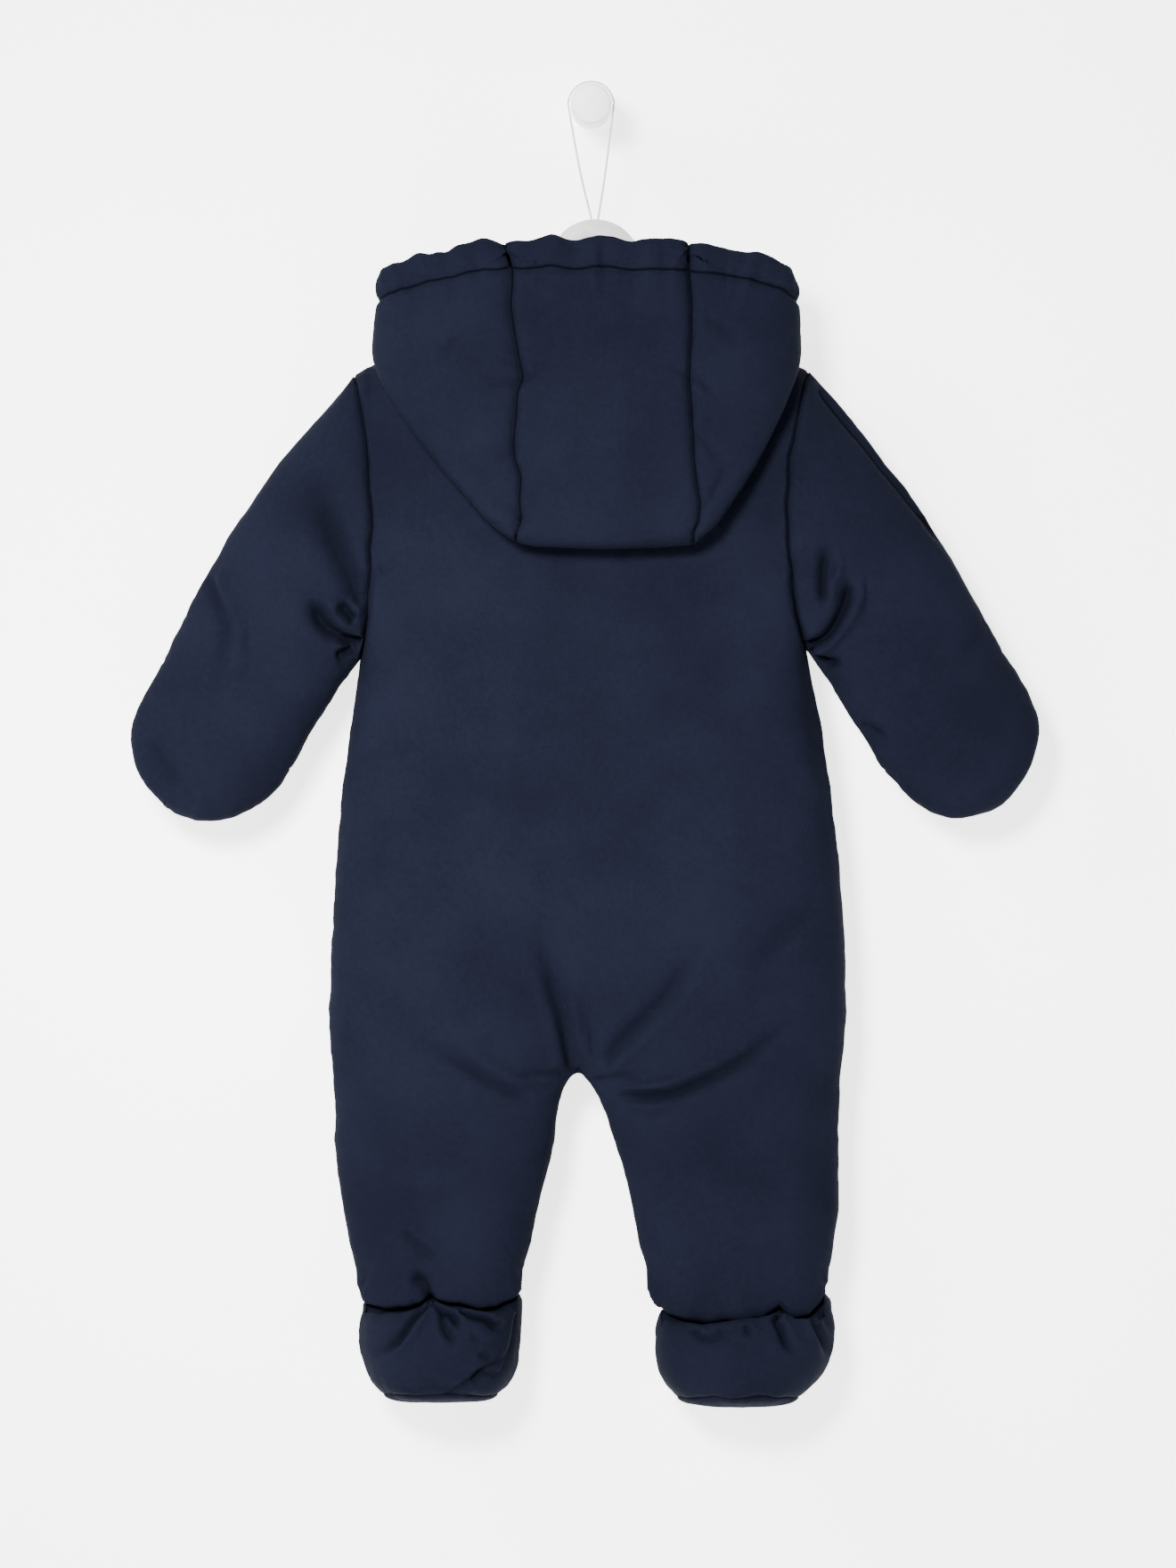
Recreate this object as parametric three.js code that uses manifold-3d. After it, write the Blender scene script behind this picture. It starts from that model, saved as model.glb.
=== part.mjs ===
// A padded baby snowsuit with hood, mitts and feet, hung back to front on a small flat hanger,
// whose cord loops over a round wall peg. Millimetres, +Z up, +X to the right of someone who
// looks at the back of the suit. The wall is the plane y = 0 and the suit hangs at y < 0, so the
// back of the suit faces -Y and its front faces the wall. The origin is the middle of the peg's
// flat end on the wall. "Left" is the wearer's left, which is -X.
import * as THREE from "three";
import { mergeVertices } from "three/addons/utils/BufferGeometryUtils.js";
import Module from "manifold-3d";

const wasm = await Module();
wasm.setup();

// Driving sizes
const midY = -56; // plane of the side seams, where the back and front layers meet
const wall = 4.5; // padded cloth
const seamWall = 2.2; // the padding is pressed flat where it is sewn
const seamReach = 13; // and swells to its full thickness this far from the seam
const seamGap = 0.3; // between two sewn pieces
const shoulderZ = -128; // where the shoulder seam meets the neck
const crotch = { x: -7, z: -563.2 };
const shoulderRound = 40; // the cloth rounds over the shoulder within this height
const neck = { x: -2, halfWidth: 44, back: 19, front: 21, backDip: 7, frontDip: 30 };
const halfColumns = 10; // columns of faces from a side seam to the centre line
const armRows = 10; // rows of faces along an armhole, which a sleeve has across
const chestFlat = 10; // how flat a section is in the middle: 2 is an ellipse
const torsoFlat = 4.6;
const legFlat = 2.4;
const armFlat = 2.6;
const footFlat = 2.5;
const zip = { halfWidth: 6, bottomZ: -500, tapeWall: 1.8, chainWidth: 5, chainHigh: 1.6 };
const peg = { radius: 12, length: 70, chamfer: 1 };
const cord = { radius: 0.7, y: midY - 4.5, holeZ: -80 };
const hanger = { thick: 4, headRadius: 27, headX: 2.3, topZ: -67, holeRadius: 3, armEnd: 108, armHigh: 20, under: 4.75 };

// Half the torso's width on each side and its depth behind and before the side seams, by height
const torso = [
  { z: -320, left: -133.9, right: 125.8, back: 25.6, front: 26.6 },
  { z: -334, left: -136.0, right: 128.5, back: 25.9, front: 27.0 },
  { z: -360, left: -140.7, right: 133.9, back: 26.5, front: 27.8 },
  { z: -392, left: -143.8, right: 138.6, back: 27.3, front: 28.8 },
  { z: -423, left: -147.9, right: 142.2, back: 28.2, front: 29.6 },
  { z: -454, left: -150.0, right: 145.9, back: 29, front: 30 },
  { z: -485, left: -151.6, right: 148.5, back: 30, front: 29 },
  { z: -516, left: -153.1, right: 149.0, back: 30, front: 28 },
  { z: -548, left: -152.6, right: 147.9, back: 29, front: 27 },
  { z: -563.2, left: -151.6, right: 146.4, back: 28, front: 27 },
];

// Each leg from crotch to ankle: its two edges and its depth each way
const legs = {
  left: {
    tilt: 3,
    rows: [
      { z: -563.2, left: -151.6, right: -7.0, back: 28, front: 27 },
      { z: -571, left: -151.0, right: -15.3, back: 27.5, front: 27 },
      { z: -579, left: -150.5, right: -17.8, back: 27, front: 27 },
      { z: -610, left: -149.0, right: -22.6, back: 27, front: 27 },
      { z: -641, left: -145.9, right: -29.4, back: 27, front: 27 },
      { z: -657, left: -142.2, right: -33.0, back: 27, front: 27 },
      { z: -672, left: -138.6, right: -36.7, back: 26.5, front: 26 },
      { z: -684, left: -135.0, right: -40.0, back: 25.5, front: 25 },
      { z: -689, left: -132.6, right: -41.9, back: 23.5, front: 23 },
      { z: -692, left: -130.8, right: -43.4, back: 19.5, front: 19 },
    ],
  },
  right: {
    tilt: 5.5,
    rows: [
      { z: -563.2, left: -7.0, right: 146.4, back: 28, front: 27 },
      { z: -571, left: 0.3, right: 145.9, back: 27.5, front: 27 },
      { z: -579, left: 4.9, right: 145.3, back: 27, front: 27 },
      { z: -610, left: 15.3, right: 144.3, back: 27, front: 27 },
      { z: -641, left: 23.7, right: 145.0, back: 27, front: 27 },
      { z: -657, left: 27.3, right: 143.6, back: 27, front: 27 },
      { z: -672, left: 30.9, right: 141.0, back: 26.5, front: 26 },
      { z: -686, left: 36.0, right: 137.8, back: 25.5, front: 25 },
      { z: -692, left: 39.5, right: 136.2, back: 23.5, front: 23 },
      { z: -696, left: 42.4, right: 135.0, back: 19.5, front: 19 },
    ],
  },
};

// Each foot from ankle to sole seam
const feet = {
  left: {
    soleDrop: 5,
    rows: [
      { z: -692, left: -130.8, right: -43.4, back: 19.5, front: 19 },
      { z: -697, left: -133.0, right: -41.0, back: 27, front: 25 },
      { z: -705, left: -134.4, right: -40.3, back: 34, front: 32 },
      { z: -719, left: -134.9, right: -40.8, back: 39, front: 38.5 },
      { z: -735, left: -132.9, right: -42.4, back: 41, front: 41 },
      { z: -746, left: -128.5, right: -46.8, back: 39.5, front: 40 },
      { z: -752.5, left: -121.0, right: -54.5, back: 36, front: 36 },
    ],
  },
  right: {
    soleDrop: 5.5,
    rows: [
      { z: -696, left: 42.4, right: 135.0, back: 19.5, front: 19 },
      { z: -701, left: 40.2, right: 138.8, back: 27, front: 25 },
      { z: -708, left: 38.6, right: 141.2, back: 34, front: 32 },
      { z: -721, left: 37.2, right: 142.4, back: 39, front: 38.5 },
      { z: -737, left: 38.4, right: 138.5, back: 41, front: 41 },
      { z: -747, left: 43.9, right: 130.8, back: 39.5, front: 40 },
      { z: -754, left: 51.0, right: 121.0, back: 36, front: 36 },
    ],
  },
};

// Sections of each sleeve, from the armhole to the tip of the mitt: the upper edge (topX, topZ),
// the under edge (underX, underZ), how far the section bows in x, and its depth
const sleeves = {
  left: [
    { s: 0, topX: -138.6, topZ: -158.6, underX: -133.9, underZ: -321.5, bow: 8, deep: 24 },
    { s: 1, topX: -151.6, topZ: -173.7, underX: -135.5, underZ: -324.5, bow: 7, deep: 25 },
    { s: 2, topX: -168.2, topZ: -192.4, underX: -138.6, underZ: -328.6, bow: 4, deep: 25 },
    { s: 3, topX: -185.9, topZ: -215.3, underX: -144.3, underZ: -335.6, bow: 2, deep: 25 },
    { s: 4, topX: -201.5, topZ: -237.1, underX: -151.1, underZ: -346.8, bow: 0, deep: 24 },
    { s: 5, topX: -216.1, topZ: -259.5, underX: -157.8, underZ: -357.2, bow: 0, deep: 23 },
    { s: 6, topX: -228.5, topZ: -281.3, underX: -164.6, underZ: -368.2, bow: 0, deep: 22 },
    { s: 7, topX: -240.0, topZ: -304.2, underX: -170.3, underZ: -378.6, bow: 0, deep: 21 },
    { s: 8, topX: -250.4, topZ: -325.5, underX: -175.5, underZ: -387.9, bow: 0, deep: 20 },
    { s: 9, topX: -260.8, topZ: -343.2, underX: -181.7, underZ: -398.3, bow: 0, deep: 19 },
    { s: 10, topX: -268.1, topZ: -360.4, underX: -191.1, underZ: -407.2, bow: 0, deep: 17.5 },
    { s: 11, topX: -270.1, topZ: -377.5, underX: -203.6, underZ: -414.4, bow: -1, deep: 15 },
    { s: 12, topX: -264.4, topZ: -393.6, underX: -217.1, underZ: -418.6, bow: -2, deep: 10 },
    { s: 13, topX: -249.9, topZ: -408.9, underX: -230.6, underZ: -417.9, bow: -1, deep: 0 },
  ],
  right: [
    { s: 0, topX: 127.1, topZ: -156.5, underX: 125.8, underZ: -318.5, bow: -12, deep: 24 },
    { s: 1, topX: 141.2, topZ: -171.0, underX: 127.6, underZ: -321.4, bow: -9, deep: 25 },
    { s: 2, topX: 155.2, topZ: -187.7, underX: 130.8, underZ: -326.0, bow: -5, deep: 25 },
    { s: 3, topX: 173.4, topZ: -210.6, underX: 136.5, underZ: -334.6, bow: -2, deep: 25 },
    { s: 4, topX: 189.5, topZ: -231.9, underX: 144.3, underZ: -345.3, bow: 0, deep: 24 },
    { s: 5, topX: 204.1, topZ: -254.3, underX: 151.1, underZ: -356.2, bow: 0, deep: 23 },
    { s: 6, topX: 216.6, topZ: -276.6, underX: 157.3, underZ: -366.2, bow: 0, deep: 22 },
    { s: 7, topX: 229.1, topZ: -299.0, underX: 164.2, underZ: -378.0, bow: 0, deep: 21 },
    { s: 8, topX: 241.0, topZ: -319.3, underX: 171.3, underZ: -388.4, bow: 0, deep: 20 },
    { s: 9, topX: 251.9, topZ: -336.4, underX: 179.1, underZ: -398.8, bow: 0, deep: 19 },
    { s: 10, topX: 259.7, topZ: -352.6, underX: 188.5, underZ: -407.7, bow: 0, deep: 17.5 },
    { s: 11, topX: 262.3, topZ: -368.7, underX: 201.0, underZ: -414.4, bow: 1, deep: 15 },
    { s: 12, topX: 258.2, topZ: -386.4, underX: 215.5, underZ: -417.0, bow: 2, deep: 10 },
    { s: 13, topX: 244.1, topZ: -405.1, underX: 229.1, underZ: -413.9, bow: 1, deep: 0 },
  ],
};
const wristRow = 8; // the palm of a mitt starts at this section

// The hood lies open behind the shoulders. Each row is one upright section of it, from the middle
// of the back (turn 0) round the side to the front of the neck (turn 1): its face edge, and the
// bottom of the fold in which it hangs. Its y is counted from the side seams. Between rows the section starts on the neck seam.
const hood = {
  left: [
    { turn: 0, edgeX: 6, edgeY: -40, edgeZ: -78.5, foldX: 6, foldY: -46, foldZ: -262 },
    { turn: 0.22, edgeX: -48, edgeY: -39, edgeZ: -79.5, foldX: -46, foldY: -45, foldZ: -257 },
    { turn: 0.36, edgeX: -84, edgeY: -37, edgeZ: -85, foldX: -68, foldY: -43, foldZ: -236 },
    { turn: 0.48, edgeX: -111, edgeY: -33, edgeZ: -93.5, foldX: -94, foldY: -39, foldZ: -204 },
    { turn: 0.6, edgeX: -119, edgeY: -22, edgeZ: -102, foldX: -121, foldY: -29, foldZ: -158 },
    { turn: 0.74, edgeX: -109, edgeY: 2, edgeZ: -110, foldX: -114, foldY: 0, foldZ: -142 },
    { turn: 0.87, edgeX: -78, edgeY: 22, edgeZ: -124, foldX: -86, foldY: 22, foldZ: -140 },
    { turn: 1, edgeX: -14, edgeY: 36, edgeZ: -139, foldX: -14, foldY: 34, foldZ: -149 },
  ],
  right: [
    { turn: 0, edgeX: 6, edgeY: -40, edgeZ: -78.5, foldX: 6, foldY: -46, foldZ: -262 },
    { turn: 0.22, edgeX: 58, edgeY: -39, edgeZ: -82, foldX: 58, foldY: -45, foldZ: -258 },
    { turn: 0.36, edgeX: 84, edgeY: -37, edgeZ: -84.5, foldX: 78, foldY: -43, foldZ: -240 },
    { turn: 0.48, edgeX: 109, edgeY: -33, edgeZ: -92, foldX: 99, foldY: -39, foldZ: -206 },
    { turn: 0.6, edgeX: 115, edgeY: -22, edgeZ: -103, foldX: 116, foldY: -29, foldZ: -159 },
    { turn: 0.74, edgeX: 105, edgeY: 2, edgeZ: -113, foldX: 109, foldY: 0, foldZ: -142 },
    { turn: 0.87, edgeX: 73, edgeY: 22, edgeZ: -125, foldX: 81, foldY: 22, foldZ: -140 },
    { turn: 1, edgeX: 10, edgeY: 36, edgeZ: -139, foldX: 10, foldY: 34, foldZ: -149 },
  ],
};
const hoodSeam = 0.22; // turn at which the centre panel meets a side panel
const hoodSteps = { centre: 4, side: 11 }; // columns of faces from the middle to the seam, and on to the front
const hoodSpans = [0, 0.03, 0.06, 0.09, 0.13, 0.2, 0.3, 0.39, 0.45, 0.5, 0.55, 0.61, 0.7, 0.8, 0.9, 0.95, 1];
const hemSpan = 0.9; // from here the cloth is turned in, stitched down and gathered on elastic

// Long soft troughs in the back, from (x1, z1) to (x2, z2)
const backFolds = [
  { x1: -27, z1: -488, x2: -11, z2: -560, deep: 5, wide: 8 },
  { x1: 55, z1: -514, x2: 1, z2: -560, deep: 4, wide: 9 },
  { x1: -95, z1: -543, x2: -30, z2: -573, deep: 4.5, wide: 9 },
  { x1: 105, z1: -528, x2: 12, z2: -572, deep: 4.5, wide: 9 },
  { x1: -90, z1: -640, x2: -95, z2: -690, deep: 4, wide: 9 },
  { x1: 106, z1: -664, x2: 100, z2: -694, deep: 4, wide: 9 },
  { x1: -170, z1: -296, x2: -142, z2: -314, deep: 4.5, wide: 8 },
  { x1: 168, z1: -276, x2: 146, z2: -312, deep: 4.5, wide: 8 },
];

const clamp = (value, low = 0, high = 1) => Math.min(high, Math.max(low, value));
const mix = (a, b, t) => a + (b - a) * t;
const mixPoint = (p, q, t) => p.map((value, i) => mix(value, q[i], t));
const ease = (t) => clamp(t) ** 2 * (3 - 2 * clamp(t));
const add = (p, q, scale = 1) => p.map((value, i) => value + q[i] * scale);
const from = (p, q) => p.map((value, i) => value - q[i]);
const dot = (p, q) => p[0] * q[0] + p[1] * q[1] + p[2] * q[2];
const cross = (p, q) => [
  p[1] * q[2] - p[2] * q[1],
  p[2] * q[0] - p[0] * q[2],
  p[0] * q[1] - p[1] * q[0],
];
const unit = (p) => p.map((value) => value / (Math.hypot(...p) || 1));

// How deep a rounded section is at w, from -1 at one edge to 1 at the other
const crown = (w, flat) => Math.sqrt(Math.max(0, 1 - Math.abs(w) ** flat));

// The row of a table at any height or turn, on a smooth curve through its rows
function rowAt(rows, key, at) {
  const sorted = [...rows].sort((p, q) => p[key] - q[key]);
  const last = sorted.length - 1;
  const x = clamp(at, sorted[0][key], sorted[last][key]);
  const i = Math.max(0, Math.min(last - 1, sorted.filter((row) => row[key] <= x).length - 1));
  const slope = (n, name) => {
    const a = sorted[Math.max(0, n - 1)];
    const b = sorted[Math.min(last, n + 1)];
    return (b[name] - a[name]) / (b[key] - a[key]);
  };
  const a = sorted[i];
  const b = sorted[i + 1];
  const span = b[key] - a[key];
  const t = (x - a[key]) / span;
  const row = {};
  for (const name of Object.keys(a)) {
    row[name] =
      (2 * t ** 3 - 3 * t ** 2 + 1) * a[name] +
      (t ** 3 - 2 * t ** 2 + t) * span * slope(i, name) +
      (3 * t ** 2 - 2 * t ** 3) * b[name] +
      (t ** 3 - t ** 2) * span * slope(i + 1, name);
  }
  row[key] = at;
  return row;
}

// The depth of the folds at a place on the back
function foldDepth(x, z) {
  let deep = 0;
  for (const f of backFolds) {
    const [dx, dz] = [f.x2 - f.x1, f.z2 - f.z1];
    const along = clamp(((x - f.x1) * dx + (z - f.z1) * dz) / (dx * dx + dz * dz));
    const off = Math.hypot(x - f.x1 - along * dx, z - f.z1 - along * dz);
    deep = Math.max(deep, f.deep * Math.exp(-((off / f.wide) ** 2)));
  }
  return deep;
}

// A point of a layer: "back" bulges towards -Y and "front" towards the wall
function layerPoint(layer, x, z, deep) {
  if (layer === "front") return [x, midY + deep, z];
  const fold = deep > 0 ? Math.min(foldDepth(x, z), deep * 0.5) : 0;
  return [x, midY - deep + fold, z];
}

const degreesOf = (sine) => (Math.asin(sine) * 180) / Math.PI;

// Even steps of columns, closer together at the side seams
const torsoColumn = (j) => {
  const t = j / halfColumns - 1;
  return Math.sign(t) * (1 - (1 - Math.abs(t)) ** 1.5);
};
const legColumn = (j) => Math.sin(((2 * j) / halfColumns - 1) * (Math.PI / 2));

// How much a section at this height is already two legs
const legShare = (z) => clamp((-440 - z) / (-440 - crotch.z)) ** 2.2;

// One point of the torso below the armholes, at column j from 0 at the left to 2 * halfColumns
function torsoPoint(layer, j, z) {
  const row = rowAt(torso, "z", z);
  const share = legShare(z);
  const left = j <= halfColumns;
  const w = left ? legColumn(j) : legColumn(j - halfColumns);
  const centre = mix((row.left + row.right) / 2, crotch.x, share);
  const [from1, to1] = left ? [row.left, centre] : [centre, row.right];
  const asLeg = mix(from1, to1, (w + 1) / 2);
  const u = torsoColumn(j);
  const asTorso = mix(row.left, row.right, (u + 1) / 2) + (centre - (row.left + row.right) / 2) * (1 - u * u);
  const flat = mix(chestFlat, torsoFlat, ease((torso[0].z - z) / 110));
  const deep = row[layer] * mix(crown(u, flat), crown(w, legFlat), share);
  return layerPoint(layer, mix(asTorso, asLeg, share), z, deep);
}

function legPoint(side, layer, j, t) {
  const { rows, tilt } = legs[side];
  const z = mix(crotch.z, rows[rows.length - 1].z, t);
  const row = rowAt(rows, "z", z);
  const w = legColumn(j);
  const x = mix(row.left, row.right, (w + 1) / 2);
  return layerPoint(layer, x, z + tilt * w * t * t, row[layer] * crown(w, legFlat));
}

// The neck seam, from the middle of the back (0 degrees) to the middle of the front (180)
function neckPoint(degrees, side) {
  const angle = (degrees * Math.PI) / 180;
  const c = Math.cos(angle);
  const x = neck.x + (side === "left" ? -1 : 1) * neck.halfWidth * Math.sin(angle);
  return c >= 0
    ? [x, midY - neck.back * c, shoulderZ - neck.backDip * c]
    : [x, midY - neck.front * c, shoulderZ - neck.frontDip * (-c) ** 1.2];
}

const neckColumns = 3; // columns of faces from the centre line to the side of the neck

// Upper edge of a layer: the neck in the middle and a shoulder seam on each side
function topPoint(layer, j) {
  const side = j < halfColumns ? "left" : "right";
  const k = Math.abs(j - halfColumns);
  if (k <= neckColumns) {
    const turn = (k / neckColumns) * 90;
    return neckPoint(layer === "back" ? turn : 180 - turn, side);
  }
  const tip = sleeves[side][0];
  const t = (k - neckColumns) / (halfColumns - neckColumns);
  const edge = neckPoint(90, side);
  return [mix(edge[0], tip.topX, t), midY, shoulderLine(t, tip)];
}

function shoulderLine(t, tip) {
  return mix(shoulderZ, tip.topZ + 10, t) - 10 * t ** 4;
}

// A point on a sleeve section, at angle 0 on the upper edge and 180 on the under edge
function sleevePoint(side, layer, s, degrees) {
  const row = rowAt(sleeves[side], "s", s);
  const w = -Math.cos((degrees * Math.PI) / 180);
  const t = (w + 1) / 2;
  const x = mix(row.topX, row.underX, t) + row.bow * 4 * t * (1 - t);
  const z = mix(row.topZ, row.underZ, t) + (s > 10 ? Math.abs(row.bow) * -4 * t * (1 - t) : 0);
  return layerPoint(layer, x, z, row.deep * crown(w, armFlat));
}

const chestDepth = (layer, z) => torso[0][layer] - 0.022 * (z - torso[0].z);

// The back or front between the shoulders and the armholes' lower ends
function chestPoint(layer, j, i) {
  const degrees = (180 * i) / armRows;
  const v = (1 - Math.cos((degrees * Math.PI) / 180)) / 2;
  if (j === 0) return sleevePoint("left", layer, 0, degrees);
  if (j === 2 * halfColumns) return sleevePoint("right", layer, 0, degrees);
  const top = topPoint(layer, j);
  if (i === 0) return top;
  const low = torsoPoint(layer, j, torso[0].z);
  const u = torsoColumn(j);
  const lowZ = mix(sleeves.left[0].underZ, sleeves.right[0].underZ, (u + 1) / 2);
  const bow = u < 0 ? sleeves.left[0].bow : sleeves.right[0].bow;
  const x = mix(top[0], low[0], v) + bow * Math.abs(u) ** 3 * 4 * v * (1 - v);
  const z = mix(top[2], lowZ, v);
  const neckDeep = Math.abs(top[1] - midY);
  const round = Math.sqrt(1 - (1 - clamp((top[2] - z) / shoulderRound)) ** 2);
  const inner = neckDeep + (chestDepth(layer, z) - neckDeep) * round;
  const edge = sleeves.left[0].deep * crown(2 * v - 1, armFlat);
  return layerPoint(layer, x, z, edge + (inner - edge) * crown(u, chestFlat));
}

// Heights of the rows of faces
const torsoRows = 12;
const legSteps = [0, 0.08, 0.2, 0.36, 0.52, 0.68, 0.82, 0.91, 0.96, 1];

// All rows of a layer down to the crotch: each has a point for every column
function trunkRow(layer, i) {
  const row = [];
  for (let j = 0; j <= 2 * halfColumns; j++) {
    if (i <= armRows) {
      row.push(chestPoint(layer, j, i));
    } else {
      const t = (i - armRows) / torsoRows;
      const u = torsoColumn(j);
      const startZ = mix(sleeves.left[0].underZ, sleeves.right[0].underZ, (u + 1) / 2);
      const p = torsoPoint(layer, j, mix(torso[0].z, crotch.z, t));
      row.push([p[0], p[1], p[2] + (startZ - torso[0].z) * (1 - t)]);
    }
  }
  return row;
}
const trunk = (layer) => Array.from({ length: armRows + torsoRows + 1 }, (_, i) => trunkRow(layer, i));

function legGrid(side, layer) {
  return legSteps.map((t) =>
    Array.from({ length: halfColumns + 1 }, (_, j) => {
      if (t > 0) return legPoint(side, layer, j, t);
      return torsoPoint(layer, side === "left" ? j : j + halfColumns, crotch.z);
    }),
  );
}

// Four-sided faces of a grid of points. Turned round, they face the other way.
function gridFaces(grid, turned) {
  const faces = [];
  for (let i = 0; i + 1 < grid.length; i++) {
    for (let j = 0; j + 1 < grid[i].length; j++) {
      const face = [grid[i][j], grid[i + 1][j], grid[i + 1][j + 1], grid[i][j + 1]];
      faces.push(turned ? face.reverse() : face);
    }
  }
  return faces;
}

const cut = (grid, first, last) => grid.map((row) => row.slice(first, last + 1));

// The front is cut along the zip: its two centre columns stand back from the centre line
function zipColumns(grid) {
  const c = halfColumns;
  const left = cut(grid, 0, c).map((row) => [...row]);
  const right = cut(grid, c, 2 * c).map((row) => [...row]);
  const tape = [];
  grid.forEach((row, i) => {
    if (row[c][2] > zip.bottomZ) {
      const a = add(row[c], [-zip.halfWidth, 0, 0]);
      const b = add(row[c], [zip.halfWidth, 0, 0]);
      left[i][c] = a;
      right[i][0] = b;
      tape.push([a, row[c], b]);
    } else if (tape.length && tape[tape.length - 1][0] !== tape[tape.length - 1][2]) {
      tape.push([row[c], row[c], row[c]]);
    }
  });
  return { left, right, tape: tape.slice(0, tape.findIndex((row) => row[0] === row[2]) + 1) };
}

function footGrid(side, layer) {
  const { rows } = feet[side];
  return rows.map((row, i) =>
    Array.from({ length: halfColumns + 1 }, (_, j) => {
      if (i === 0) return legPoint(side, layer, j, 1);
      const w = legColumn(j);
      const z = row.z + legs[side].tilt * w * (1 - i / (rows.length - 1)) ** 2;
      return layerPoint(layer, mix(row.left, row.right, (w + 1) / 2), z, row[layer] * crown(w, footFlat));
    }),
  );
}

const soleRows = 4;

function soleGrid(side) {
  const back = footGrid(side, "back").at(-1);
  const front = footGrid(side, "front").at(-1);
  return Array.from({ length: soleRows + 1 }, (_, r) =>
    back.map((p, j) => {
      const t = r / soleRows;
      const drop = feet[side].soleDrop * Math.sqrt(4 * t * (1 - t)) * crown(legColumn(j), 4);
      return add(mixPoint(p, front[j], t), [0, 0, -drop]);
    }),
  );
}

function sleeveGrid(side, layer, first, last) {
  const grid = [];
  for (let s = first; s <= last; s++) {
    const row = [];
    for (let i = 0; i <= armRows; i++) row.push(sleevePoint(side, layer, s, (180 * i) / armRows));
    grid.push(row);
  }
  return grid;
}

// One upright section of the hood at a turn, span 0 on the neck seam and 1 on the face edge
const hoodFold = { hanging: 11, front: 4 }; // half the width of the fold at its bottom
const hoodPuff = 8; // how far the outer layer swells

function hoodSection(side, turn) {
  const row = rowAt(hood[side], "turn", turn);
  const seat = add(neckPoint(170 * turn, side), [0, 0, 0.9]);
  const edge = [row.edgeX, midY + row.edgeY, row.edgeZ];
  const fold = [row.foldX, midY + row.foldY, row.foldZ];
  const hang = 1 - ease((turn - 0.42) / 0.4); // 1 where the hood hangs behind the back
  const out = unit([seat[0] - neck.x, (seat[1] - midY) * 1.6, 0]);
  const rise = add(seat, [out[0] * 1.5, out[1] * 1.5, mix(5, 9, hang)]);
  const step = mix(2, 5, hang);
  const over = add(rise, [out[0] * step, out[1] * step, 3.5 * hang + 1]);
  const past = add(over, [out[0] * step, out[1] * step, -3 * hang]);
  const away = unit(mixPoint(out, [0, -1, 0], hang));
  const half = mix(hoodFold.front, hoodFold.hanging, hang);
  const bend = (degrees, towards) => {
    const angle = (degrees * Math.PI) / 180;
    const up = unit(from(towards, fold));
    return add(add(fold, away, half * Math.sin(angle)), up, half * (1 - Math.cos(angle)));
  };
  const down = (t) => add(mixPoint(past, bend(-90, past), t), [0, 0, 2.5 * (1 - hang) * Math.sin(t * Math.PI)]);
  const up = (t) => add(mixPoint(bend(90, edge), edge, t), away, hoodPuff * hang * Math.sin(t * Math.PI));
  return [
    { span: 0, p: seat },
    { span: 0.04, p: rise },
    { span: 0.07, p: over },
    { span: 0.1, p: past },
    { span: 0.2, p: down(0.4) },
    { span: 0.3, p: down(0.75) },
    { span: 0.39, p: bend(-90, past) },
    { span: 0.45, p: bend(-50, past) },
    { span: 0.5, p: fold },
    { span: 0.55, p: bend(50, edge) },
    { span: 0.61, p: bend(90, edge) },
    { span: 0.7, p: up(0.25) },
    { span: 0.8, p: up(0.5) },
    { span: 0.9, p: up(0.76) },
    { span: 1, p: edge },
  ];
}

// The cloth of the hood is pressed thinner where it lies round the front of the neck
const hoodWall = ([, y]) => mix(2.4, wall, ease((midY + 6 - y) / 25));

// Moves a point of the hood outwards until it lies on the shoulders, chest or back
function restOnTrunk([x, y, z], clear) {
  const layer = y < midY ? "back" : "front";
  const side = x < neck.x ? "left" : "right";
  const across = Math.abs(x - neck.x) / neck.halfWidth;
  const seam = across < 1 ? neckPoint(layer === "back" ? degreesOf(across) : 180 - degreesOf(across), side) : null;
  const tip = sleeves[side][0];
  const edge = neckPoint(90, side)[0];
  const top = seam ? seam[2] : shoulderLine((x - edge) / (tip.topX - edge), tip);
  const neckDeep = seam ? Math.abs(seam[1] - midY) : 0;
  const deep = Math.abs(y - midY) - neckDeep;
  const low = z - (top - shoulderRound);
  const full = chestDepth(layer, z) - neckDeep + clear;
  if (deep <= 0) return [x, y, Math.max(z, top + clear)];
  const r = Math.hypot(deep / full, Math.max(0, low) / (shoulderRound + 1.6 * clear));
  if (r >= 1) return [x, y, z];
  const moved = (neckDeep + deep / r) * (layer === "back" ? -1 : 1);
  return [x, midY + moved, low > 0 ? top - shoulderRound + low / r : z];
}

function hoodPoint(turn, span) {
  const points = hoodSection(turn < 0 ? "left" : "right", Math.abs(turn));
  const rows = points.map(({ span: key, p }) => ({ key, x: p[0], y: p[1], z: p[2] }));
  const at = rowAt(rows, "key", span);
  return restOnTrunk([at.x, at.y, at.z], 1.2 + 2.8 * ease(span / 0.06));
}

const sideTurns = (sign) =>
  Array.from({ length: hoodSteps.side + 1 }, (_, k) => sign * mix(hoodSeam, 1, k / hoodSteps.side));
const centreTurns = Array.from({ length: 2 * hoodSteps.centre + 1 }, (_, k) =>
  mix(-hoodSeam, hoodSeam, k / (2 * hoodSteps.centre)),
);

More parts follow.
